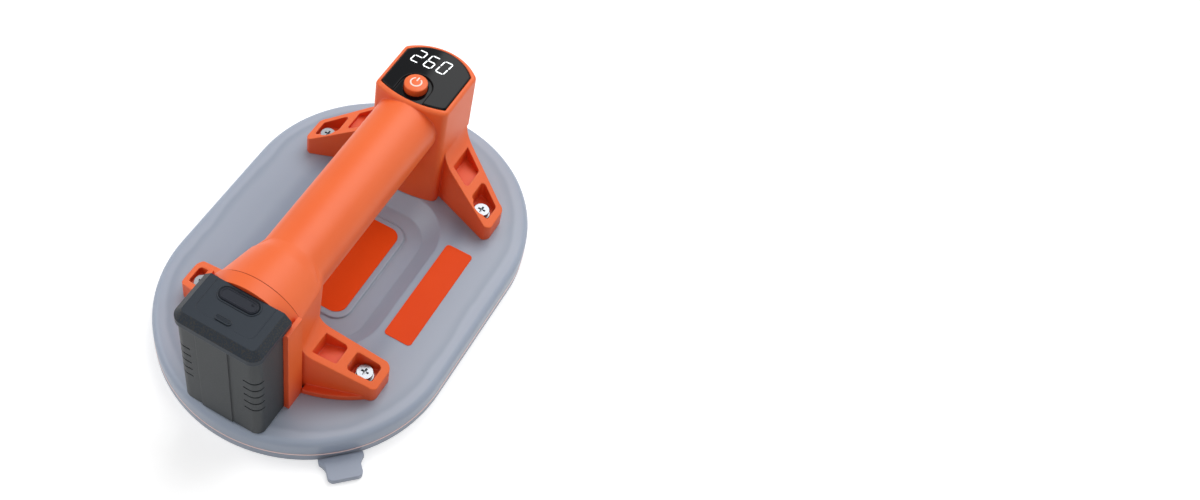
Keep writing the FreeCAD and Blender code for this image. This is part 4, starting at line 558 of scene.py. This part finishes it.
SLOT_FINISH = {
    "plate_polymer": PLATE_URETHANE, "seam_rubber": SEAM_RUBBER, "seal_rubber": SEAL_SILICONE,
    "cell_foam": FOAM, "label_film": LABEL_FILM, "orange_shell": ORANGE_NYLON,
    "screw_steel": ZINC_STEEL, "brass": BRASS, "lens_gloss": LENS, "dark_plastic": DARK_PLASTIC,
    "circuit_board": SOLDER_MASK, "iron_core": IRON, "black_rubber": BLACK_RUBBER,
    "battery_shell": BATTERY_ABS, "cell_wrap": CELL_SLEEVE, "lead_sleeve": LEAD_SLEEVE,
}


class Paints:
    """Builds each finish once and hands out the same material after that."""

    def __init__(self) -> None:
        """Starts with no material made."""
        self.made: dict[str, bpy.types.Material] = {}

    def of(self, finish: Finish) -> bpy.types.Material:
        """Hands out the material of a finish, made on first use.

        Args:
            finish: the finish.

        Returns:
            Its material, the same one each time.
        """
        if finish.name not in self.made:
            self.made[finish.name] = finish.build()
        return self.made[finish.name]


PAINTS = Paints()


def placed(name: str, data: bpy.types.ID) -> bpy.types.Object:
    """Makes an object at the origin and puts it into the scene.

    Args:
        name: the object's name.
        data: its mesh, camera or lamp.

    Returns:
        The new object.
    """
    item = bpy.data.objects.new(name, data)
    bpy.context.scene.collection.objects.link(item)
    return item


def report(piece: bpy.types.Object) -> bpy.types.Object:
    """Logs a finished piece and returns it."""
    LOG.info("%s: %d faces", piece.name, len(piece.data.polygons))
    return piece


def dress(node: str, finish: Finish) -> None:
    """Gives a CAD node the material of a finish.

    Args:
        node: the CAD node's name.
        finish: what it is made of.
    """
    mesh = frame["nodes"][node].data
    mesh.materials.clear()
    mesh.materials.append(PAINTS.of(finish))


@dataclass
class Softened:
    """A CAD node with smooth curves, and with rounded edges where its shape leaves room for them.

    The node's triangles are merged and every edge that bends more than a limit is kept sharp. With
    a width, flat neighbours are joined into one face and the sharp edges get a round of that width.

    Attributes:
        node: the CAD node that the piece stands for.
        finish: what it is made of.
        width: width of the rounding in millimetres, 0 for none.
        limit: smallest bend of an edge that counts as sharp, in degrees.
        flat: largest bend between faces that are joined into one, in degrees.
        segments: faces across a rounding.
    """

    node: str
    finish: Finish
    width: float = 0.0
    limit: float = 34.0
    flat: float = 0.4
    segments: int = 3

    def merged(self) -> bpy.types.Mesh:
        """Copies the node's mesh, closes it and marks its sharp edges.

        Returns:
            The new mesh.
        """
        mesh = frame["nodes"][self.node].data.copy()
        mesh.name = self.node + "_softened"
        solid = bmesh.new()
        solid.from_mesh(mesh)
        bmesh.ops.remove_doubles(solid, verts=solid.verts[:], dist=MERGE)
        if self.width:
            bmesh.ops.dissolve_limit(solid, angle_limit=math.radians(self.flat), verts=solid.verts[:],
                                     edges=solid.edges[:], delimit={"NORMAL"})
        layer = solid.edges.layers.float.new("bevel_weight_edge")
        sharp = math.radians(self.limit)
        for edge in solid.edges:
            edge.smooth = not (edge.is_manifold and edge.calc_face_angle(0.0) > sharp)
            edge[layer] = 0.0 if edge.smooth else 1.0
        for face in solid.faces:
            face.smooth = True
        solid.to_mesh(mesh)
        solid.free()
        return mesh

    def build(self) -> bpy.types.Object:
        """Makes the piece, puts it on the node's body and hides the node.

        Returns:
            The piece's object.
        """
        piece = placed(self.node + "_softened", self.merged())
        piece.data.materials.clear()
        piece.data.materials.append(PAINTS.of(self.finish))
        if self.width:
            bevel = piece.modifiers.new("mould radius", "BEVEL")
            bevel.limit_method = "WEIGHT"
            bevel.width = self.width * MM
            bevel.segments = self.segments
            bevel.use_clamp_overlap = False
            bevel.harden_normals = True
        mount(piece, self.node)
        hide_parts(self.node)
        return report(piece)


def mount(piece: bpy.types.Object, node: str) -> None:
    """Puts a piece on the body of a CAD node.

    Args:
        piece: the new piece.
        node: the node that it belongs to.
    """
    bodies = frame["record"]["behaviour"]["bodies"]
    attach(piece, next(body for body, nodes in bodies.items() if node in nodes))


def new_piece(name: str, points: np.ndarray, faces: list, finish: Finish, node: str,
              smooth: bool = True) -> bpy.types.Object:
    """Makes a closed piece from points and faces.

    Args:
        name: the piece's name.
        points: rows of x, y and z in metres.
        faces: corner numbers of each face.
        finish: what it is made of.
        node: the CAD node whose body it takes.
        smooth: whether its faces shade as one curve.

    Returns:
        The piece's object.
    """
    mesh = bpy.data.meshes.new(name)
    mesh.from_pydata(points.tolist(), [], faces)
    solid = bmesh.new()
    solid.from_mesh(mesh)
    bmesh.ops.remove_doubles(solid, verts=solid.verts[:], dist=MERGE)
    bmesh.ops.recalc_face_normals(solid, faces=solid.faces[:])
    for face in solid.faces:
        face.smooth = smooth
    solid.to_mesh(mesh)
    solid.free()
    piece = placed(name, mesh)
    mesh.materials.append(PAINTS.of(finish))
    mount(piece, node)
    return report(piece)


def ring_faces(rings: int, around: int, closed: bool) -> list[list[int]]:
    """Lists the quads between rings of points that follow one another.

    Args:
        rings: how many rings there are.
        around: points in each ring.
        closed: whether the last ring joins the first.

    Returns:
        Four corner numbers for each quad.
    """
    ring = np.arange(rings if closed else rings - 1)[:, None]
    step = np.arange(around)[None, :]
    first = ring * around
    second = (ring + 1) % rings * around
    ahead = (step + 1) % around
    quads = np.stack([first + step, first + ahead, second + ahead, second + step], axis=2)
    return quads.reshape(-1, 4).tolist()


def carried(profile: np.ndarray, path: np.ndarray, outward: np.ndarray) -> tuple[np.ndarray, list]:
    """Carries a closed profile round a closed flat path.

    Each point of the profile is an offset along the path's outward normal and a height, so the
    point at step i, j is path[i] + outward[i] * profile[j, 0] + up * profile[j, 1].

    Args:
        profile: rows of outward offset and height in metres.
        path: rows of x, y and z in metres.
        outward: unit normals of the path, level with it.

    Returns:
        The points and the quads between them.
    """
    points = path[:, None, :] + outward[:, None, :] * profile[None, :, 0:1] + UP * profile[None, :, 1:2]
    return points.reshape(-1, 3), ring_faces(len(path), len(profile), closed=True)


def oval(half_long: float, radius: float, steps: int = 24) -> tuple[np.ndarray, np.ndarray]:
    """Lists points round two half circles joined by straight sides that run along Y.

    Args:
        half_long: half the whole length.
        radius: radius of the ends.
        steps: points on each end.

    Returns:
        The points and their outward normals, each with x, y and z.
    """
    turn = np.linspace(0.0, math.pi, steps)
    arc = np.stack([np.cos(turn), np.sin(turn), np.zeros(steps)], axis=1)
    normals = np.concatenate([arc, -arc])
    middle = np.array([0.0, half_long - radius, 0.0])
    centres = np.repeat([middle, -middle], steps, axis=0)
    return centres + normals * radius, normals


def slab(outline: np.ndarray, low: np.ndarray, high: np.ndarray) -> tuple[np.ndarray, list]:
    """Stands a thin slab on an outline.

    Args:
        outline: rows of x and y, in order round the slab.
        low: height of the underside at each corner.
        high: height of the top at each corner.

    Returns:
        The points and the faces.
    """
    count = len(outline)
    points = np.concatenate([np.column_stack([outline, low]), np.column_stack([outline, high])])
    faces = [tuple(range(count))[::-1], tuple(range(count, 2 * count))]
    faces += [(i, (i + 1) % count, (i + 1) % count + count, i + count) for i in range(count)]
    return points, faces


def band(outline: np.ndarray, low: np.ndarray, high: np.ndarray) -> tuple[np.ndarray, list]:
    """Stands a thin slab on a band whose outline runs out along one edge and back along the other.

    Its top and underside are quads that join step i of one edge to step i of the other.

    Args:
        outline: rows of x and y, as many on each edge.
        low: height of the underside at each corner.
        high: height of the top at each corner.

    Returns:
        The points and the faces.
    """
    points, faces = slab(outline, low, high)
    count = len(outline)
    step = np.arange(count // 2 - 1)
    under = np.stack([step, step + 1, count - 2 - step, count - 1 - step], axis=1)
    return points, under[:, ::-1].tolist() + (under + count).tolist() + faces[2:]


def joined(blocks: list[tuple[np.ndarray, list]]) -> tuple[np.ndarray, list]:
    """Puts several blocks into one list of points and one of faces.

    Args:
        blocks: points and faces of each block.

    Returns:
        All the points, and the faces with their corner numbers moved on.
    """
    faces = []
    before = 0
    for block, sides in blocks:
        faces += [tuple(corner + before for corner in face) for face in sides]
        before += len(block)
    return np.concatenate([block for block, _ in blocks]), faces


@dataclass
class DigitRow:
    """Lit seven segment digits that shine through the lens, drawn just on its face.

    Attributes:
        text: the plain number that the display shows.
        left: y at which the first digit starts, in millimetres. The digits run on towards -Y.
        foot: x of the digits' feet.
        tall: height of a digit along X.
        wide: width of a digit.
        pitch: distance from one digit to the next.
        lean: how far the top leans to the reader's right.
        bar: width of a segment.
        tip: distance of a segment's tip from the corner of its digit.
        top: height of the lens face.
        sunk: how far a segment goes into the lens.
        proud: how far it stands out of the lens.
    """

    text: str = "260"
    left: float = 16.8
    foot: float = 95.9
    tall: float = 11.4
    wide: float = 6.3
    pitch: float = 9.0
    lean: float = 1.5
    bar: float = 0.8
    tip: float = 0.3
    top: float = 103.7
    sunk: float = 0.1
    proud: float = 0.04

    def bars(self, digit: str) -> list[tuple[np.ndarray, np.ndarray]]:
        """Finds the lit segments of a digit in a box one wide and two tall.

        Args:
            digit: one of the ten digits.

        Returns:
            Both ends of each lit segment.
        """
        ends = {
            "a": ((0, 2), (1, 2)), "b": ((1, 1), (1, 2)), "c": ((1, 0), (1, 1)), "d": ((0, 0), (1, 0)),
            "e": ((0, 0), (0, 1)), "f": ((0, 1), (0, 2)), "g": ((0, 1), (1, 1))}
        lit = {"0": "abcdef", "1": "bc", "2": "abged", "3": "abgcd", "4": "fgbc", "5": "afgcd",
               "6": "afgedc", "7": "abc", "8": "abcdefg", "9": "abcdfg"}[digit]
        return [tuple(np.array(end, float) for end in ends[name]) for name in lit]

    def build(self) -> bpy.types.Object:
        """Lays each segment as a six sided bar just on the lens.

        A segment from p to q in the plane of the digit has its corners at p and q, and at a half
        bar's width to both sides of the points that lie a half width in from them.

        Returns:
            The piece's object.
        """
        inner = np.array([self.wide - self.bar, (self.tall - self.bar) / 2])
        half = self.bar / 2
        blocks = []
        for number, digit in enumerate(self.text):
            for start, end in self.bars(digit):
                first = start * inner + half
                last = end * inner + half
                along = (last - first) / np.linalg.norm(last - first)
                first = first + along * self.tip
                last = last - along * self.tip
                side = np.array([-along[1], along[0]]) * half
                near = first + along * half
                far = last - along * half
                corners = np.array([first, near - side, far - side, last, far + side, near + side])
                across = corners[:, 0] + corners[:, 1] / self.tall * self.lean + number * self.pitch
                outline = np.column_stack([self.foot + corners[:, 1], self.left - across]) * MM
                level = np.full(len(corners), self.top * MM)
                blocks.append(slab(outline, level - self.sunk * MM, level + self.proud * MM))
        points, faces = joined(blocks)
        return new_piece("display_digits", points, faces, DIGIT_LIGHT, "display_module", smooth=False)


@dataclass
class PowerSymbol:
    """The pale ring and bar printed on the button's dome.

    Attributes:
        centre: x and y of the button in millimetres.
        top: height of the dome's middle.
        dome: radius of the dome.
        ring: middle radius of the ring.
        stroke: width of the print.
        gap: opening of the ring at its top, which is its +X side, in degrees.
        bar_from: distance from the middle at which the bar starts.
        bar_to: distance at which it ends.
        sunk: how far the print goes into the dome.
        proud: how far it stands out of the dome.
        ring_steps: points along the ring.
        bar_steps: points along the bar.
    """

    centre: tuple[float, float] = (78.6, 2.0)
    top: float = 107.6
    dome: float = 30.0
    ring: float = 3.4
    stroke: float = 1.0
    gap: float = 62.0
    bar_from: float = 0.7
    bar_to: float = 4.4
    sunk: float = 0.1
    proud: float = 0.03
    ring_steps: int = 40
    bar_steps: int = 8

    def height(self, reach: np.ndarray) -> np.ndarray:
        """Height of the dome at a distance from its middle: top - dome + sqrt(dome^2 - reach^2)."""
        return self.top - self.dome + np.sqrt(self.dome ** 2 - reach ** 2)

    def build(self) -> bpy.types.Object:
        """Prints the symbol as two thin bands that follow the dome.

        The ring's edges lie at ring + stroke/2 and ring - stroke/2 times (cos(t), sin(t)), and the
        bar's at stroke/2 to both sides of the x axis.

        Returns:
            The piece's object.
        """
        half_gap = math.radians(self.gap / 2)
        half = self.stroke / 2
        turn = np.linspace(half_gap, 2 * math.pi - half_gap, self.ring_steps)
        ring = np.column_stack([np.cos(turn), np.sin(turn)])
        arc = np.concatenate([ring * (self.ring + half), ring[::-1] * (self.ring - half)])
        reach = np.linspace(self.bar_from, self.bar_to, self.bar_steps)
        side = np.full(self.bar_steps, half)
        bar = np.concatenate([np.column_stack([reach, -side]), np.column_stack([reach[::-1], side])])
        blocks = []
        for flat in (arc, bar):
            level = self.height(np.linalg.norm(flat, axis=1))
            blocks.append(band((flat + np.array(self.centre)) * MM, (level - self.sunk) * MM,
                               (level + self.proud) * MM))
        points, faces = joined(blocks)
        return new_piece("power_symbol", points, faces, SYMBOL_PAINT, "power_button")


@dataclass
class TabFlares:
    """The flares that lead the release tab's sides out into its thick root.

    Attributes:
        middle_x: x of the middle of the rim's end arc, in millimetres.
        angle: direction of the tab from there, in degrees.
        root: distance of the thick root's middle line.
        start: distance where a flare leaves the root's end.
        end: distance where it has run out into the tab's side.
        root_half: half the root's length.
        tab_half: half the tab's width.
        overlap: how far a flare reaches into the tab.
        low: height of the underside.
        high: height of the top.
        steps: points along a flare's edge.
    """

    middle_x: float = -45.77
    angle: float = 225.0
    root: float = 97.1
    start: float = 98.8
    end: float = 104.8
    root_half: float = 13.5
    tab_half: float = 10.5
    overlap: float = 1.0
    low: float = 0.35
    high: float = 3.85
    steps: int = 13

    def build(self) -> None:
        """Makes one flare on each side of the tab.

        At the share s of its length the edge lies at tab_half + (root_half - tab_half) * (1 - s)^2
        from the tab's middle line.
        """
        share = np.linspace(0.0, 1.0, self.steps)
        reach = self.start + (self.end - self.start) * share
        edge = self.tab_half + (self.root_half - self.tab_half) * (1 - share) ** 2
        inside = self.tab_half - self.overlap
        flare = np.concatenate([[[self.root, inside], [self.end, inside]],
                                np.column_stack([reach, edge])[::-1], [[self.root, self.root_half]]])
        turn = math.radians(self.angle)
        along = np.array([math.cos(turn), math.sin(turn)])
        across = np.array([-math.sin(turn), math.cos(turn)])
        for name, side in (("tab_flare_left", 1.0), ("tab_flare_right", -1.0)):
            outline = flare[:, :1] * along + flare[:, 1:] * side * across + np.array([self.middle_x, 0.0])
            level = np.full(len(outline), MM)
            points, faces = slab(outline * MM, level * self.low, level * self.high)
            new_piece(name, points, faces, SEAL_SILICONE, "release_tab", smooth=False)


@dataclass
class OvalBead:
    """A raised oval bead on a flat face.

    Attributes:
        name: the piece's name.
        node: the CAD node that it is moulded on.
        finish: what it is made of.
        centre: x, y and z of its middle on the face, in millimetres.
        half_long: half the length of its middle line.
        radius: radius of its ends.
        width: width of the bead.
        rise: height of the bead.
        sink: how far its foot goes under the face.
        steps: points across its crest.
    """

    name: str
    node: str
    finish: Finish
    centre: tuple[float, float, float]
    half_long: float
    radius: float
    width: float
    rise: float
    sink: float = 0.15
    steps: int = 9

    def build(self) -> bpy.types.Object:
        """Carries a half ellipse with a sunk foot round the oval.

        The profile's point at angle t lies at width/2 * cos(t) outward and rise * sin(t) up.

        Returns:
            The piece's object.
        """
        turn = np.linspace(0.0, math.pi, self.steps)
        crest = np.column_stack([np.cos(turn) * self.width / 2, np.sin(turn) * self.rise])
        foot = np.array([[-self.width / 2, -self.sink], [self.width / 2, -self.sink]])
        profile = np.concatenate([crest, foot]) * MM
        path, outward = oval(self.half_long, self.radius)
        points, faces = carried(profile, (path + np.array(self.centre)) * MM, outward)
        return new_piece(self.name, points, faces, self.finish, self.node)


def standing(axes: np.ndarray, spot: np.ndarray) -> Matrix:
    """Makes the matrix of a camera or a lamp.

    Args:
        axes: its right, up and backward directions, one a row.
        spot: its place in metres.

    Returns:
        The matrix that turns it and puts it there.
    """
    place = np.eye(4)
    place[:3, :3] = axes.T
    place[:3, 3] = spot
    return Matrix(place.tolist())


@dataclass(frozen=True)
class SoftLamp:
    """A square lamp that faces the object.

    Attributes:
        name: the lamp's name.
        spot: its place in metres.
        side: the length of its side in metres.
        watts: its power.
    """

    name: str
    spot: tuple[float, float, float]
    side: float
    watts: float

    def hang(self) -> None:
        """Makes the lamp and turns it to the object."""
        data = bpy.data.lights.new(self.name, "AREA")
        data.size = self.side
        data.energy = self.watts
        away = np.array(self.spot) / np.linalg.norm(self.spot)
        right = np.cross(UP, away)
        right /= np.linalg.norm(right)
        axes = np.stack([right, np.cross(away, right), away])
        placed(self.name, data).matrix_world = standing(axes, np.array(self.spot))


@dataclass
class Studio:
    """The camera, the lamps, the floor and the white room round the object.

    Attributes:
        azimuth: the photograph's viewing direction, in degrees.
        elevation: its height above the horizon, in degrees.
        roll: its tilt, in degrees.
        focal_px: focal length in the photograph's pixels.
        centre_px: the image point that the optical axis meets, in pixels.
        shift_mm: the object's origin from the optical axis, right and up.
        distance_mm: the object's origin from the camera along the axis.
        image_px: the photograph's width and height.
        sensor_mm: width of the camera's sensor.
        view_range: nearest and farthest distance that the camera sees, in metres.
        floor_half: half the floor's width, in metres.
        floor_top: height of the floor, just under the object.
        floor_grey: how much light the floor throws back.
        floor_white: white added where a ray of the camera or of a gloss meets the floor.
        room_light: strength of the room's even light.
        lamps: the soft lamps.
    """

    azimuth: float = -59.81
    elevation: float = 54.64
    roll: float = 2.54
    focal_px: float = 1256.34
    centre_px: tuple[float, float] = (335.0, 265.0)
    shift_mm: tuple[float, float] = (6.39, -5.15)
    distance_mm: float = 812.3
    image_px: tuple[float, float] = (1200.0, 500.0)
    sensor_mm: float = 36.0
    view_range: tuple[float, float] = (0.01, 20.0)
    floor_half: float = 3.0
    floor_top: float = -0.0002
    floor_grey: float = 0.8
    floor_white: float = 0.42
    room_light: float = 0.36
    lamps: tuple[SoftLamp, ...] = (
        SoftLamp("top lamp", (0.95, -0.1, 1.55), 1.32, 18.3),
        SoftLamp("left lamp", (-0.5, 1.3, 1.2), 1.2, 10.0),
        SoftLamp("side lamp", (1.1, -1.2, 0.9), 1.2, 4.0),
        SoftLamp("fill lamp", (-1.3, -0.5, 1.3), 1.2, 3.2))

    def camera(self) -> bpy.types.Object:
        """Stands the camera where the photograph was taken from.

        The axes come from azimuth and elevation, are turned by the roll, and the camera lies at
        minus the turned offset of the object's origin.

        Returns:
            The camera object, set as the scene's camera.
        """
        turn, rise, roll = (math.radians(v) for v in (self.azimuth, self.elevation, self.roll))
        back = np.array([math.sin(turn) * math.cos(rise), -math.cos(turn) * math.cos(rise),
                         math.sin(rise)])
        right = np.cross(UP, back)
        right /= np.linalg.norm(right)
        up = np.cross(back, right)
        right, up = (right * math.cos(roll) + up * math.sin(roll),
                     up * math.cos(roll) - right * math.sin(roll))
        axes = np.stack([right, up, back])
        offset = np.array([*self.shift_mm, -self.distance_mm]) * MM
        data = bpy.data.cameras.new("camera")
        data.sensor_width = self.sensor_mm
        data.lens = self.focal_px * self.sensor_mm / self.image_px[0]
        data.shift_x = (self.image_px[0] / 2 - self.centre_px[0]) / self.image_px[0]
        data.shift_y = (self.centre_px[1] - self.image_px[1] / 2) / self.image_px[0]
        data.clip_start, data.clip_end = self.view_range
        camera = placed("camera", data)
        camera.matrix_world = standing(axes, -axes.T @ offset)
        bpy.context.scene.camera = camera
        return camera

    def white_rays(self, tree: bpy.types.NodeTree) -> bpy.types.NodeSocket:
        """Finds the rays from the camera, gloss and glass, which see the room as white.

        Args:
            tree: the node tree.

        Returns:
            A socket that gives 1 for such a ray and 0 for any other.
        """
        path = add_node(tree, "ShaderNodeLightPath")
        seen = add_node(tree, "ShaderNodeMath", {
            0: path.outputs["Is Camera Ray"], 1: path.outputs["Is Glossy Ray"]}, operation="MAXIMUM")
        seen = add_node(tree, "ShaderNodeMath", {
            0: seen.outputs[0], 1: path.outputs["Is Transmission Ray"]}, operation="MAXIMUM")
        return seen.outputs[0]

    def whitened(self, tree: bpy.types.NodeTree, plain: bpy.types.NodeSocket) -> bpy.types.Node:
        """Adds white to the floor's shader for rays from the camera, gloss and glass.

        Args:
            tree: the node tree.
            plain: the shader that lights and catches shadows.

        Returns:
            The node with the mixed shader.
        """
        glow = add_node(tree, "ShaderNodeEmission", {"Color": WHITE, "Strength": self.floor_white})
        both = add_node(tree, "ShaderNodeAddShader", {0: plain, 1: glow.outputs[0]})
        return add_node(tree, "ShaderNodeMixShader", {
            0: self.white_rays(tree), 1: plain, 2: both.outputs[0]})

    def floor(self) -> None:
        """Lays the pale floor that keeps the shadow and reads as white."""
        corners = np.array([(-1.0, -1.0), (1.0, -1.0), (1.0, 1.0), (-1.0, 1.0)]) * self.floor_half
        points = np.column_stack([corners, np.full(4, self.floor_top)])
        mesh = bpy.data.meshes.new("floor")
        mesh.from_pydata(points.tolist(), [], [(0, 1, 2, 3)])
        floor = placed("floor", mesh)
        material = bpy.data.materials.new("pale floor paint")
        material.use_nodes = True
        tree = material.node_tree
        tree.nodes.clear()
        grey = self.floor_grey
        paint = add_node(tree, "ShaderNodeBsdfDiffuse", {"Color": (grey, grey, grey, 1.0)})
        mixed = self.whitened(tree, paint.outputs[0])
        add_node(tree, "ShaderNodeOutputMaterial", {"Surface": mixed.outputs[0]})
        mesh.materials.append(material)

    def world(self) -> None:
        """Fills the room with even light that the camera sees as white."""
        world = bpy.data.worlds.new("white room")
        bpy.context.scene.world = world
        world.use_nodes = True
        tree = world.node_tree
        tree.nodes.clear()
        level = add_node(tree, "ShaderNodeMapRange", {
            "Value": self.white_rays(tree), "To Min": self.room_light, "To Max": 1.0})
        light = add_node(tree, "ShaderNodeBackground", {
            "Color": WHITE, "Strength": level.outputs["Result"]})
        add_node(tree, "ShaderNodeOutputWorld", {"Surface": light.outputs[0]})

    def build(self) -> None:
        """Sets up the whole studio."""
        self.camera()
        self.world()
        self.floor()
        for lamp in self.lamps:
            lamp.hang()
        bpy.context.scene.view_settings.view_transform = "Standard"


@dataclass
class RimSeam:
    """The pale bead of the gasket that swells out between the plate and its skirt.

    Attributes:
        half_straight: half the length of the plate's straight sides, in millimetres.
        edge_radius: radius of the plate's ends.
        proud: how far the bead stands out past the plate's edge.
        foot: how far it reaches in under the edge.
        steps: points across its crest.
        end_steps: points round each of the plate's ends.
    """

    half_straight: float = 45.7
    edge_radius: float = 95.0
    proud: float = 0.25
    foot: float = 1.0
    steps: int = 7
    end_steps: int = 90

    def build(self) -> bpy.types.Object:
        """Carries half an ellipse round the plate's edge.

        The profile's point at angle t lies at proud * cos(t) outward and half the gasket's height
        times sin(t) up. The quarter turn brings the oval's long way from Y to X.

        Returns:
            The piece's object.
        """
        low, high = (corner[2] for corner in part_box("rim_gasket"))
        half_high = (high - low) / 2
        turn = np.linspace(-math.pi / 2, math.pi / 2, self.steps)
        crest = np.column_stack([np.cos(turn) * self.proud * MM, np.sin(turn) * half_high])
        foot = np.array([[-self.foot * MM, half_high], [-self.foot * MM, -half_high]])
        profile = np.concatenate([crest, foot])
        path, outward = oval(self.half_straight + self.edge_radius, self.edge_radius, self.end_steps)
        quarter = np.array([[0.0, -1.0, 0.0], [1.0, 0.0, 0.0], [0.0, 0.0, 1.0]])
        path = path @ quarter * MM + np.array([0.0, 0.0, (low + high) / 2])
        points, faces = carried(profile, path, outward @ quarter)
        return new_piece("rim_seam", points, faces, SEAM_RUBBER, "rim_gasket")


@dataclass
class SuctionPlate:
    """The oval plate with its skirt and release tab.

    Attributes:
        sharp_bend: smallest bend that stays sharp on the plate, in degrees.
    """

    sharp_bend: float = 28.0

    def build(self) -> None:
        """Softens the plate and the rubber round it, and adds the tab's flares and the seam's bead."""
        Softened("base_plate", PLATE_URETHANE, limit=self.sharp_bend).build()
        Softened("sealing_skirt", SEAL_SILICONE).build()
        Softened("release_tab", SEAL_SILICONE).build()
        TabFlares().build()
        RimSeam().build()


@dataclass
class DockGapShadow:
    """A dark strip of painted shadow for the narrow gap over the rear tower in front of the dock's edge.

    Attributes:
        edge_x: x of the dock's front edge, in millimetres.
        crown: radius of the tower's crown.
        top: height of the crown's middle.
        half_wide: half the tower's width.
        foot: height at which the gap ends on both sides.
        width: width of the painted shadow strip along x.
        proud: how far the strip stands out of the tower.
        sunk: how far its back lies inside the tower.
        blend: share of the crown's half angle that the arch takes before it turns down.
        steps: points along the arch.
    """

    edge_x: float = -96.0
    crown: float = 31.0
    top: float = 108.9
    half_wide: float = 28.0
    foot: float = 30.0
    width: float = 0.5
    proud: float = 0.12
    sunk: float = 0.3
    blend: float = 0.96
    steps: int = 49

    def build(self) -> bpy.types.Object:
        """Carries a flat strip up one side, over the crown and down the other side.

        At the angle a from the top the arch lies at crown * sin(a) across and
        top - crown + crown * cos(a) up.

        Returns:
            The piece's object.
        """
        reach = math.asin(self.half_wide / self.crown) * self.blend
        angle = np.linspace(-reach, reach, self.steps)
        outward = np.column_stack([np.sin(angle), np.cos(angle)])
        arch = outward * self.crown + np.array([0.0, self.top - self.crown])
        shoulder = arch[0, 1] - (self.crown - self.half_wide)
        left = np.array([[-self.half_wide, self.foot], [-self.half_wide, shoulder]])
        right = (left * np.array([-1.0, 1.0]))[::-1]
        sideways = np.array([[1.0, 0.0], [1.0, 0.0]])
        line = np.concatenate([left, arch, right])
        normal = np.concatenate([-sideways, outward, sideways])
        corners = ((0.0, -self.sunk), (0.0, self.proud),
                   (self.width, self.proud), (self.width, -self.sunk))
        rings = np.stack([
            np.column_stack([np.full(len(line), self.edge_x + forward), line + normal * rise])
            for forward, rise in corners], axis=1)
        faces = ring_faces(len(line), len(corners), closed=False)
        last = (len(line) - 1) * len(corners)
        faces += [(0, 1, 2, 3), (last + 3, last + 2, last + 1, last)]
        points = rings.reshape(-1, 3) * MM
        return new_piece("dock_gap_shadow", points, faces, GAP_SHADOW_PAINT, "battery_dock", smooth=False)


@dataclass
class Handle:
    """The orange moulding with its four legs, its cover and the dock."""

    def build(self) -> None:
        """Softens the mouldings and the screws that hold them, and lays painted shadow in the gap before
        the dock.
        """
        Softened("handle_frame", ORANGE_NYLON).build()
        Softened("front_cover", SEAM_NYLON).build()
        Softened("battery_dock", SEAM_NYLON).build()
        # Painted shadow: a dark strip stands for the shade in the gap before the dock.
        DockGapShadow().build()
        Softened("leg_screws", ZINC_STEEL).build()
        Softened("leg_washers", ZINC_STEEL).build()


@dataclass
class DisplayHead:
    """The lens, its lit digits and the power button.

    Attributes:
        lens_round: width of the rounding along the lens's edges, in millimetres.
        button_round: width of the rounding along the button's edges.
    """

    lens_round: float = 0.35
    button_round: float = 0.4

    def build(self) -> None:
        """Softens the lens and the button and adds what shows on them."""
        Softened("display_lens", LENS, self.lens_round).build()
        Softened("power_button", ORANGE_NYLON, self.button_round).build()
        DigitRow().build()
        PowerSymbol().build()


@dataclass
class BatteryPack:
    """The battery's case, its cap and the plug of the charging port.

    Attributes:
        plug: x, y and z of the middle of the plug's face, in millimetres.
        seat: the same on the cap round the plug.
        mark: the same on the cap's oval mark.
        plug_round: width of the rounding along the plug's edges.
    """

    plug: tuple[float, float, float] = (-111.2, 1.0, 106.8)
    seat: tuple[float, float, float] = (-111.2, 1.0, 106.3)
    mark: tuple[float, float, float] = (-126.0, 1.0, 106.7)
    plug_round: float = 0.4

    def build(self) -> None:
        """Softens the mouldings and adds the beads of the plug, of its seat and of the cap's mark."""
        Softened("battery_case", BATTERY_ABS).build()
        Softened("battery_cap", CAP_ABS).build()
        Softened("port_cover", BLACK_RUBBER, self.plug_round).build()
        OvalBead("plug_bead", "port_cover", BLACK_RUBBER, self.plug, half_long=11.3, radius=3.2,
                 width=0.8, rise=0.3).build()
        OvalBead("seat_bead", "battery_cap", CAP_ABS, self.seat, half_long=13.3, radius=5.2,
                 width=0.9, rise=0.5).build()
        OvalBead("mark_ring", "battery_cap", CAP_ABS, self.mark, half_long=4.9, radius=1.5,
                 width=0.6, rise=0.3, sink=0.45).build()
        OvalBead("mark_core", "battery_cap", CAP_ABS, self.mark, half_long=3.9, radius=0.45,
                 width=0.35, rise=0.25).build()


def main() -> None:
    """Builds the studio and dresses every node."""
    logging.basicConfig(level=logging.INFO, format="%(name)s %(message)s")
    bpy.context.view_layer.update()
    Studio().build()
    slots = {row["node"]: row["material_slot"] for row in frame["record"]["subparts"]}
    for node, slot in slots.items():
        dress(node, SLOT_FINISH[slot])
    for assembly in (SuctionPlate(), Handle(), DisplayHead(), BatteryPack()):
        assembly.build()


if __name__ == "__main__":
    main()
